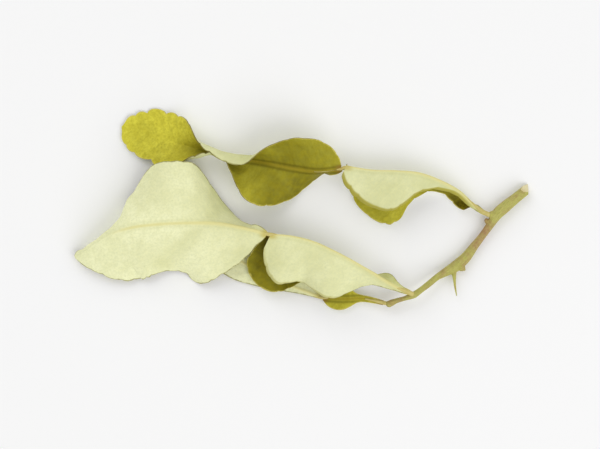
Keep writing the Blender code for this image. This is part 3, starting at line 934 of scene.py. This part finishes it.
class Graph:
    """The nodes of one material or node group, added and wired a step at a time."""

    def __init__(self, tree: NodeTree) -> None:
        """Starts on an empty or a new node tree."""
        self.tree = tree

    def feed(self, node: Node, inputs: dict) -> Node:
        """Gives inputs of a node their values, or the sockets that feed them.

        Args:
            node: the node.
            inputs: socket name or number to a value, or to the socket that feeds it.

        Returns:
            The same node.
        """
        for socket, value in inputs.items():
            if isinstance(value, NodeSocket):
                self.tree.links.new(value, node.inputs[socket])
            else:
                node.inputs[socket].default_value = value
        return node

    def add(self, kind: str, inputs: dict, **settings: object) -> Node:
        """Adds a node.

        Args:
            kind: its type, without the ShaderNode in front.
            inputs: socket name or number to a value, or to the socket that feeds it.
            settings: its properties.

        Returns:
            The node.
        """
        node = self.tree.nodes.new("ShaderNode" + kind)
        for name, value in settings.items():
            setattr(node, name, value)
        return self.feed(node, inputs)

    def math(self, operation: str, a: object, b: object = 0.0, clamp: bool = False) -> NodeSocket:
        """Works out one sum of two numbers or sockets."""
        return self.add("Math", {0: a, 1: b}, operation=operation, use_clamp=clamp).outputs[0]

    def plus(self, *terms: object) -> NodeSocket:
        """Adds up numbers or sockets."""
        return reduce(lambda a, b: self.math("ADD", a, b), terms)

    def times(self, *factors: object) -> NodeSocket:
        """Multiplies numbers or sockets."""
        return reduce(lambda a, b: self.math("MULTIPLY", a, b), factors)

    def minus(self, a: object, b: object) -> NodeSocket:
        """Takes one number or socket from another."""
        return self.math("SUBTRACT", a, b)

    def span(self, value: object, low: float, high: float, start: float = 0, end: float = 1) -> NodeSocket:
        """Maps a value smoothly from one span to another."""
        inputs = {0: value, 1: low, 2: high, 3: start, 4: end}
        return self.add("MapRange", inputs, interpolation_type="SMOOTHSTEP").outputs[0]

    def mix(self, share: object, a: object, b: object) -> NodeSocket:
        """Mixes two colours or sockets."""
        a, b = ((*c, 1.0) if isinstance(c, tuple) else c for c in (a, b))
        return self.add("Mix", {0: share, 6: a, 7: b}, data_type="RGBA").outputs[2]

    def noise(self, vector: object, scale: object, detail: float, roughness: float = 0.55) -> NodeSocket:
        """Reads a cloudy noise."""
        inputs = {"Vector": vector, "Scale": scale, "Detail": detail, "Roughness": roughness}
        return self.add("TexNoise", inputs).outputs[0]

    def measure(self, name: str) -> NodeSocket:
        """Reads a measure that the mesh keeps."""
        return self.add("Attribute", {}, attribute_name=name).outputs["Fac"]

    def group(self, tree: NodeTree, inputs: dict) -> NodeOutputs:
        """Places a node group with its own values, and gives its outputs."""
        return self.add("Group", inputs, node_tree=tree).outputs

    def bump(self, height: object, strength: float, distance: float) -> NodeSocket:
        """Turns a height into a small tilt of the surface, of a distance in mm."""
        inputs = {"Height": height, "Strength": strength, "Distance": distance * MM}
        return self.add("Bump", inputs).outputs[0]


def new_group(name: str, takes: Sequence[str], gives: Sequence[str]) -> tuple[Graph, dict, Node]:
    """Starts a node group with named sockets.

    Args:
        name: the group's name.
        takes: input names, of which Vector is a place and the others are numbers.
        gives: output names, all numbers.

    Returns:
        The graph, its input sockets by name, and the node that takes the outputs.
    """
    tree = bpy.data.node_groups.new(name, "ShaderNodeTree")
    for title in takes:
        kind = "NodeSocketVector" if title == "Vector" else "NodeSocketFloat"
        tree.interface.new_socket(title, in_out="INPUT", socket_type=kind)
    for title in gives:
        tree.interface.new_socket(title, in_out="OUTPUT", socket_type="NodeSocketFloat")
    entry = tree.nodes.new("NodeGroupInput")
    leave = tree.nodes.new("NodeGroupOutput")
    return Graph(tree), {title: entry.outputs[title] for title in takes}, leave


def veins_group() -> NodeTree:
    """Makes side veins that leave the rib aslant and fade towards the margin, and streaks along them.

    Returns:
        The group, which gives Vein and Streak from 0 to 1.
    """
    graph, take, leave = new_group("leaf_veins", ("Vector", "Along", "Out", "Edge"), ("Vein", "Streak"))
    reach = graph.math("ABSOLUTE", take["Out"])
    start = graph.minus(take["Along"], graph.times(reach, 1 / math.tan(VEIN_ANGLE)))
    start = graph.minus(start, graph.times(graph.math("POWER", reach, 2.0), VEIN_CURVE))
    wander = graph.times(graph.minus(graph.noise(take["Vector"], VEIN_WANDER_SCALE, 2.0), 0.5), VEIN_WANDER)
    lag = graph.times(graph.math("LESS_THAN", take["Out"], 0.0), VEIN_LAG)
    phase = graph.plus(graph.math("DIVIDE", graph.plus(start, wander), VEIN_PITCH), lag)
    away = graph.times(graph.math("ABSOLUTE", graph.minus(phase, graph.math("ROUND", phase))), VEIN_PITCH)
    line = graph.span(away, 0.0, VEIN_WIDTH, 1.0, 0.0)
    inside = graph.times(graph.span(take["Edge"], *VEIN_FROM_EDGE), graph.span(reach, *VEIN_FROM_RIB))
    brushed = {0: start, 1: graph.times(take["Out"], STREAK_STRETCH), 2: take["Along"]}
    streak = graph.noise(graph.add("CombineXYZ", brushed).outputs[0], STREAK_SCALE, 3.0, 0.6)
    graph.feed(leave, {"Vein": graph.times(line, inside), "Streak": graph.span(streak, *STREAK_SPAN)})
    return graph.tree


def glands_group() -> NodeTree:
    """Makes the tiny oil glands of a citrus leaf: small dots, not all of one strength, and a fine net.

    Returns:
        The group, which gives Dot and Net from 0 to 1.
    """
    graph, take, leave = new_group("oil_glands", ("Vector",), ("Dot", "Net"))
    cells = {"Vector": take["Vector"], "Scale": GLAND_SCALE, "Randomness": 0.9}
    cell = graph.add("TexVoronoi", cells).outputs
    dot = graph.span(cell["Distance"], 0.0, GLAND_SIZE, 1.0, 0.0)
    strength = graph.span(graph.add("SeparateColor", {0: cell["Color"]}).outputs[0], 0.2, 0.9)
    cells = {"Vector": take["Vector"], "Scale": NET_SCALE}
    net = graph.add("TexVoronoi", cells, feature="DISTANCE_TO_EDGE").outputs["Distance"]
    graph.feed(leave, {"Dot": graph.times(dot, strength), "Net": graph.span(net, 0.0, NET_WIDTH, 1.0, 0.0)})
    return graph.tree


def mottle_group() -> NodeTree:
    """Makes uneven patches at three scales, for colour that varies over a surface.

    Returns:
        The group, which gives Broad, Fine and Grain from 0 to 1.
    """
    graph, take, leave = new_group("mottle", ("Vector", "Scale"), tuple(MOTTLE))
    for title, (factor, low, high) in MOTTLE.items():
        read = graph.noise(take["Vector"], graph.times(take["Scale"], factor), 4.0, 0.6)
        graph.feed(leave, {title: graph.span(read, low, high)})
    return graph.tree


def new_material(name: str) -> tuple[Material, Graph, Node, NodeSocket]:
    """Starts a material.

    Args:
        name: the material's name.

    Returns:
        The material, its graph, its Principled shader and its object coordinates.
    """
    made = bpy.data.materials.new(name)
    made.use_nodes = True
    graph = Graph(made.node_tree)
    place = graph.add("TexCoord", {}).outputs["Object"]
    return made, graph, made.node_tree.nodes["Principled BSDF"], place


@dataclass(frozen=True)
class LeafFinish:
    """The finish of one face of a leaf.

    light, deep: its colours at the ends of the colour depth that each point keeps; the deep end also stands
    for painted
    shade. uneven: how much patches change it. vein_rise: how far veins stand up. covers: the colours laid
    over these in order, each with how much of it shows.
    """

    name: str
    light: Colour
    deep: Colour
    uneven: float
    covers: dict[str, tuple[Colour, float]]
    roughness: float
    gloss: float
    vein_rise: float

    def build(self, groups: dict[str, NodeTree]) -> Material:
        """Makes the material.

        Args:
            groups: the shared node groups by name.

        Returns:
            The material.
        """
        made, graph, shader, place = new_material(self.name)
        along, out, edge, tone = (graph.measure(key) for key in ("along", "out", "edge", "tone"))
        shaded_hem, rib, rib_flank_shade, joint = (graph.measure(key) for key in ("shaded_hem", "rib", "rib_flank_shade", "joint"))
        mottle = graph.group(groups["mottle"], {"Vector": place, "Scale": LEAF_MOTTLE_SCALE})
        veins = graph.group(groups["veins"], {"Vector": place, "Along": along, "Out": out, "Edge": edge})
        glands = graph.group(groups["glands"], {"Vector": place})
        uneven = graph.times(graph.minus(mottle["Broad"], 0.5), self.uneven)
        rough_edge = graph.plus(edge, graph.times(mottle["Fine"], RIM_ROUGH))
        edge_show = graph.span(rough_edge, *RIM_SPAN, 1.0, 0.0)
        shares = {
            "patch": mottle["Fine"], "grain": mottle["Grain"], "gland": glands["Dot"],
            "streak": veins["Streak"], "vein": veins["Vein"], "rib_flank_shade": rib_flank_shade, "rim": edge_show,
            "shaded_hem": shaded_hem, "rib": rib, "joint": joint,
        }
        # Mixes the light and deep colours by the colour depth each point keeps, which holds painted shade
        # besides the leaf's own darker places
        colour = graph.mix(graph.math("ADD", tone, uneven, clamp=True), self.light, self.deep)
        for name, (cover, show) in self.covers.items():
            colour = graph.mix(graph.times(shares[name], show), colour, cover)
        height = graph.plus(
            graph.times(mottle["Grain"], 0.35), graph.times(glands["Net"], -0.30),
            graph.times(veins["Vein"], self.vein_rise), graph.times(mottle["Fine"], 0.8),
        )
        rough = graph.plus(self.roughness - ROUGH_SWING / 2, graph.times(mottle["Fine"], ROUGH_SWING))
        graph.feed(shader, {
            "Base Color": colour,
            "Roughness": rough,
            "Normal": graph.bump(height, 0.55, 0.06),
            "Specular IOR Level": self.gloss,
        })
        return made


@dataclass(frozen=True)
class BarkFinish:
    """Young citrus bark: olive, browner in patches, with fine long ridges."""

    name: str
    green: Colour
    brown: Colour
    dark: Colour
    pale: Colour
    roughness: float
    mottle_scale: float = 260.0
    uneven: float = 0.8
    streak_show: float = 0.42
    pale_show: float = 0.25
    stretch: tuple[float, float] = (0.35, 4.0)

    def build(self, groups: dict[str, NodeTree]) -> Material:
        """Makes the material.

        Args:
            groups: the shared node groups by name.

        Returns:
            The material.
        """
        made, graph, shader, place = new_material(self.name)
        along, around, brown = (graph.measure(key) for key in ("along", "around", "brown"))
        mottle = graph.group(groups["mottle"], {"Vector": place, "Scale": self.mottle_scale})
        uneven = graph.times(graph.minus(mottle["Broad"], 0.5), self.uneven)
        drawn = {0: graph.times(along, self.stretch[0]), 1: graph.times(around, self.stretch[1])}
        streaks = graph.noise(graph.add("CombineXYZ", drawn).outputs[0], 1.6, 4.0, 0.6)
        streaks = graph.span(streaks, 0.42, 0.66)
        colour = graph.mix(graph.math("ADD", brown, uneven, clamp=True), self.green, self.brown)
        colour = graph.mix(graph.times(streaks, self.streak_show), colour, self.dark)
        colour = graph.mix(graph.times(mottle["Fine"], self.pale_show), colour, self.pale)
        height = graph.plus(graph.times(streaks, -0.8), graph.times(mottle["Fine"], 0.5))
        graph.feed(shader, {
            "Base Color": colour,
            "Roughness": graph.plus(self.roughness, graph.times(mottle["Fine"], 0.1)),
            "Normal": graph.bump(height, 0.6, 0.08),
        })
        return made


@dataclass(frozen=True)
class PlainFinish:
    """A small surface of one stuff, mottled between two colours."""

    name: str
    first: Colour
    second: Colour
    roughness: float
    scale: float = 300.0

    def build(self, groups: dict[str, NodeTree]) -> Material:
        """Makes the material.

        Args:
            groups: the shared node groups by name.

        Returns:
            The material.
        """
        made, graph, shader, place = new_material(self.name)
        mottle = graph.group(groups["mottle"], {"Vector": place, "Scale": self.scale})
        graph.feed(shader, {
            "Base Color": graph.mix(mottle["Broad"], self.first, self.second),
            "Roughness": self.roughness,
            "Normal": graph.bump(mottle["Fine"], 0.4, 0.05),
        })
        return made


UNDERSIDE = LeafFinish(
    name="leaf_underside",
    light=tint(249, 250, 203),
    deep=tint(176, 176, 92),
    uneven=0.20,
    covers={
        "patch": (tint(238, 238, 180), 0.24), "grain": (tint(206, 212, 166), 0.32),
        "gland": (tint(206, 212, 166), 0.55), "streak": (tint(176, 176, 92), 0.06),
        # The colour beside the midrib is painted shade
        "vein": (tint(236, 238, 184), 0.15), "rib_flank_shade": (tint(176, 176, 92), 0.14),
        # The colour on a rolled margin is painted shade; the darker margin line is partly the edge's own
        # colour and partly painted shade
        "rim": (tint(138, 132, 60), 0.9), "shaded_hem": (tint(178, 170, 74), 1.0),
        "rib": (tint(228, 220, 148), 0.8), "joint": (tint(206, 194, 112), 1.0),
    },
    roughness=0.66,
    gloss=0.15,
    vein_rise=0.5,
)
UPPER_SIDE = LeafFinish(
    name="leaf_upper_side",
    light=tint(230, 223, 78),
    deep=tint(68, 58, 0),
    uneven=0.18,
    covers={
        "patch": (tint(178, 162, 16), 0.24), "grain": (tint(140, 130, 10), 0.22),
        "gland": (tint(140, 130, 10), 0.45), "streak": (tint(68, 58, 0), 0.16),
        # The colour beside the midrib is painted shade
        "vein": (tint(158, 148, 34), 0.16), "rib_flank_shade": (tint(68, 58, 0), 0.50),
        # The colour on a rolled margin is painted shade
        "rim": (tint(220, 208, 108), 0.8), "shaded_hem": (tint(190, 182, 92), 1.0),
        "rib": (tint(158, 138, 38), 0.75), "joint": (tint(146, 118, 48), 1.0),
    },
    roughness=0.5,
    gloss=0.06,
    vein_rise=-0.8,
)
# The narrow margin edge: its own darker colour, deepened with painted shade of the gap beside a rolled
# margin
RIM = PlainFinish("leaf_rim", tint(146, 134, 60), tint(108, 96, 34), 0.6)
BARK = BarkFinish(
    name="twig_bark", green=tint(182, 180, 84), brown=tint(168, 128, 80), dark=tint(128, 104, 50),
    pale=tint(206, 198, 124), roughness=0.5,
)
CUT_WOOD = PlainFinish("cut_wood", tint(232, 222, 176), tint(206, 186, 122), 0.75)
JOINT = PlainFinish("joint_bark", tint(208, 194, 118), tint(190, 172, 92), 0.55)


@dataclass(frozen=True)
class Knob:
    """A swelling, scar or bud: where it is and its three half widths, mm, and its turn, degrees."""

    place: Place
    size: Place
    turn: float = 0.0

    def build(self) -> Object:
        """Adds a stretched sphere.

        Returns:
            The object.
        """
        clear_selection()
        bpy.ops.mesh.primitive_uv_sphere_add(segments=24, ring_count=16, radius=MM)
        made = bpy.context.active_object
        spin = Matrix.Rotation(math.radians(self.turn), 4, "Z")
        centre = Vector(np.asarray(self.place) + SHIFT) * MM
        made.data.transform(Matrix.Translation(centre) @ spin @ Matrix.Diagonal((*self.size, 1.0)))
        return made


@dataclass(frozen=True)
class Cut:
    """A flat cut: a place on it, mm, and which way it faces."""

    place: Place
    facing: Place
    pale: bool = True

    def normal(self) -> Vector:
        """Gives its facing a length of 1."""
        return Vector(self.facing).normalized()

    def slice(self, item: Object) -> None:
        """Cuts away all that is in front of the cut, and closes it.

        Args:
            item: the object.
        """
        plane = {"plane_co": Vector(np.array(self.place) + SHIFT) * MM, "plane_no": self.normal()}
        with editing(item):
            bpy.ops.mesh.bisect(**plane, use_fill=True, clear_outer=True, threshold=FINE_WELD)


@dataclass(frozen=True)
class Twig:
    """The stem with its swollen joints, thorn, leaf scar and bud, and its cut foot and end, mm."""

    rows: int = 220
    around: int = 32
    voxel: float = 0.11
    ridges: float = 0.03
    bark_rise: float = 0.035
    bark_fades: float = 2.2
    knobs: tuple[Knob, ...] = (
        Knob((53.4, -1.6, 2.8), (1.06, 1.06, 1.06)), Knob((31.7, -23.9, 4.3), (0.94, 0.94, 0.94)),
        Knob((24.7, -26.5, 3.1), (0.94, 0.94, 0.94)), Knob((44.75, -16.1, 1.8), (1.15, 1.45, 1.25), 40.0),
        Knob((52.1, -3.5, 2.3), (0.7, 1.0, 0.7), 30.0),
    )
    cuts: tuple[Cut, ...] = (
        Cut((0.0, 0.0, 0.146), (0.0, 0.0, -1.0), pale=False), Cut((63.60, 5.8, 1.8), (1.0, 0.0, 0.0)),
        Cut((62.27, 4.9, 3.07), (0.2, 0.68, 0.7)),
    )

    def build(self) -> Object:
        """Grows all parts of the twig into one skin, then cuts its foot and its end.

        Returns:
            The object, with two empty material slots: bark and cut wood.
        """
        stem = tube("twig", TWIG_LINE, self.rows, self.around, self.ridges)
        parts = [tube("thorn", THORN_LINE, rows=60, around=24)]
        parts.append(tube("ledge", LEDGE_LINE, rows=24, around=20))
        parts += [knob.build() for knob in self.knobs]
        make_active(stem)
        for part in parts:
            part.select_set(True)
        bpy.ops.object.join()
        apply_modifier(stem, "REMESH", mode="VOXEL", voxel_size=self.voxel * MM)
        apply_modifier(stem, "SMOOTH", factor=0.5, iterations=4)
        self.weather(stem)
        for cut in self.cuts:
            cut.slice(stem)
        stem.data.materials.clear()
        for _ in range(2):
            stem.data.materials.append(None)
        pale = [cut.normal() for cut in self.cuts if cut.pale]
        for face in stem.data.polygons:
            flat = any(abs(face.normal.dot(way)) > FLAT_ENOUGH for way in pale)
            face.material_index = int(flat and len(face.vertices) > BARK_FACE_CORNERS)
        stem.data.shade_smooth()
        stem.data.set_sharp_from_angle(angle=TWIG_SHARP)
        return stem

    def weather(self, item: Object) -> None:
        """Raises the bark's long ridges, and stores where each point is on the twig and how brown it is.

        Args:
            item: the twig.
        """
        flat = np.empty(len(item.data.vertices) * 3)
        item.data.vertices.foreach_get("co", flat)
        spot = flat.reshape(-1, 3) / MM - SHIFT
        path, length = even_curve(TWIG_LINE, BARK_SAMPLES)
        nearest = np.array([np.argmin(((path[:, :3] - p) ** 2).sum(1)) for p in spot])
        away = spot - path[nearest, :3]
        side, up = cross_axes(unit(np.gradient(path[:, :3], axis=0)[nearest]))
        along = nearest / (BARK_SAMPLES - 1) * length
        around = np.arctan2((away * up).sum(1), (away * side).sum(1))
        on_stem = ease(self.bark_fades - np.linalg.norm(away, axis=1) / path[nearest, 3])
        sway = np.sin(BARK_SWAY_RATE * along)
        ridge = sum(
            show * np.sin(count * around + twist * along + swayed * sway)
            for count, twist, swayed, show in BARK_RIDGES
        )
        normal = np.empty(len(flat))
        item.data.vertices.foreach_get("normal", normal)
        moved = spot + normal.reshape(-1, 3) * (self.bark_rise * ridge * on_stem)[:, None]
        item.data.vertices.foreach_set("co", ((moved + SHIFT) * MM).ravel())
        start, stop = BROWN_LINE_SPAN
        line = ease((along - start) / BROWN_LINE_FADE) * ease((stop - along) / BROWN_LINE_FADE)
        line = line * bell((np.abs(around) - math.pi) / BROWN_LINE_WIDTH)
        patch = bell((along - BROWN_PATCH_PLACE) / BROWN_PATCH_WIDTH)
        end = begins(along, BROWN_END_SPAN)
        brown = BROWN_ALL + BROWN_LINE * line + BROWN_PATCH * patch + BROWN_END * end
        for name, values in (("along", along), ("around", around), ("brown", np.clip(brown, 0, 1))):
            keep_measure(item, name, values)


@dataclass(frozen=True)
class Stub:
    """A short stalk that carries one part into the next, x, y, z and radius in mm."""

    name: str
    line: tuple
    rows: int = 40
    around: int = 20

    def build(self) -> Object:
        """Rolls the stub and shades it smooth.

        Returns:
            The object.
        """
        made = tube(self.name, self.line, self.rows, self.around)
        made.data.shade_smooth()
        return made


STUBS = (
    Stub("lower_leaf_stalk", (
        (53.2, -1.9, 2.7, 0.5), (52.4, -1.55, 3.1, 0.68), (51.2, -1.0, 3.45, 0.62), (48.6, 0.9, 4.1, 0.42),
        (46.0, 3.2, 4.8, 0.2),
    )),
    Stub("middle_leaf_stalk", (
        (32.2, -24.1, 4.2, 0.5), (31.1, -23.7, 4.7, 0.68), (29.6, -23.0, 5.35, 0.6),
        (26.7, -21.8, 6.3, 0.42), (23.6, -20.1, 7.25, 0.2),
    )),
    Stub("top_leaf_stalk", (
        (24.6, -26.5, 3.05, 0.45), (23.7, -26.3, 2.95, 0.58), (22.6, -26.05, 2.8, 0.5),
        (20.2, -25.5, 2.5, 0.36), (18.0, -25.1, 2.3, 0.2),
    )),
    Stub("lower_leaf_joint", (
        (14.0, 11.4, 6.9, 0.2), (12.9, 11.5, 6.85, 0.44), (12.1, 11.4, 6.8, 0.55), (11.3, 11.1, 6.75, 0.44),
        (10.0, 10.9, 6.65, 0.2),
    )),
    Stub("middle_leaf_joint", (
        (-6.4, -7.2, 9.05, 0.2), (-7.8, -7.1, 8.95, 0.44), (-8.8, -7.05, 8.92, 0.55),
        (-9.8, -6.9, 8.95, 0.44), (-11.4, -6.5, 9.15, 0.2),
    )),
    Stub("top_leaf_joint", (
        (7.8, -24.9, 1.8, 0.2), (6.7, -24.85, 1.7, 0.4), (5.9, -24.7, 1.6, 0.5), (5.2, -24.5, 1.5, 0.4),
        (4.0, -24.1, 1.4, 0.2),
    )),
)


@dataclass(frozen=True)
class Lamp:
    """A soft square light that faces the object: its place and side in metres, its power in watts."""

    name: str
    place: Place
    size: float
    power: float

    def build(self) -> None:
        """Hangs the light."""
        data = bpy.data.lights.new(self.name, "AREA")
        data.shape = "SQUARE"
        data.size = self.size
        data.energy = self.power
        lamp = bpy.data.objects.new(self.name, data)
        lamp.location = self.place
        lamp.rotation_euler = (-Vector(self.place)).to_track_quat("-Z", "Y").to_euler()
        bpy.context.scene.collection.objects.link(lamp)


@dataclass(frozen=True)
class Studio:
    """The pale floor, the soft light and the camera straight above."""

    floor_size: float = 3.0
    floor_colour: Colour = tint(250, 250, 250)
    floor_roughness: float = 0.7
    floor_gloss: float = 0.2
    height: float = 0.840
    eye: tuple[float, float] = (-0.000385, -0.004243)
    lens: float = 180.0
    sensor: float = 36.0
    nearest: float = 0.01
    sky: float = 0.58
    lamps: tuple[Lamp, ...] = (
        Lamp("key", (0.70, -0.85, 1.00), 1.20, 9.6),
        Lamp("fill", (-0.60, 1.00, 0.90), 1.20, 6.6),
    )

    def build(self) -> None:
        """Lays the floor, hangs the lights and sets the camera."""
        self.lay_floor()
        world = bpy.data.worlds.new("soft_room")
        world.use_nodes = True
        backdrop = {"Color": (1.0, 1.0, 1.0, 1.0), "Strength": self.sky}
        Graph(world.node_tree).feed(world.node_tree.nodes["Background"], backdrop)
        bpy.context.scene.world = world
        for lamp in self.lamps:
            lamp.build()
        clear_selection()
        bpy.ops.object.camera_add(location=(*self.eye, self.height), rotation=(0, 0, 0))
        camera = bpy.context.active_object
        camera.data.lens = self.lens
        camera.data.sensor_width = self.sensor
        camera.data.clip_start = self.nearest
        bpy.context.scene.camera = camera
        bpy.context.scene.view_settings.view_transform = "Standard"

    def lay_floor(self) -> None:
        """Lays the floor, which is no part of the object."""
        clear_selection()
        bpy.ops.mesh.primitive_plane_add(size=self.floor_size)
        floor = bpy.context.active_object
        floor.name = "floor"
        made, graph, shader, _ = new_material("pale_floor")
        graph.feed(shader, {
            "Base Color": (*self.floor_colour, 1.0),
            "Roughness": self.floor_roughness,
            "Specular IOR Level": self.floor_gloss,
        })
        floor.data.materials.append(made)


def settle(piece: Object) -> None:
    """Rides a piece on the one body and reports it.

    Args:
        piece: the piece.
    """
    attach(piece, "root")
    log.info("%s: %d faces", piece.name, len(piece.data.polygons))


def main() -> None:
    """Builds the sprig's pieces in order, dresses them and sets the studio."""
    groups = {"veins": veins_group(), "glands": glands_group(), "mottle": mottle_group()}
    finishes = {Face.UNDER: UNDERSIDE.build(groups), Face.UPPER: UPPER_SIDE.build(groups)}
    rim, bark, cut, joint = (finish.build(groups) for finish in (RIM, BARK, CUT_WOOD, JOINT))
    for form in LEAF_FORMS:
        leaf = LeafSheet(form)
        piece = leaf.build()
        leaf.dress(piece, finishes, rim)
        piece.name = form.name + "_fine"
        settle(piece)
        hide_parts(form.name)
    twig = Twig().build()
    twig.name = "twig_fine"
    for slot, finish in enumerate((bark, cut)):
        twig.data.materials[slot] = finish
    settle(twig)
    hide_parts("twig")
    for stub in STUBS:
        piece = stub.build()
        piece.data.materials.append(joint)
        settle(piece)
    Studio().build()


if __name__ == "__main__":
    logging.basicConfig(level=logging.INFO, format="%(message)s")
    main()
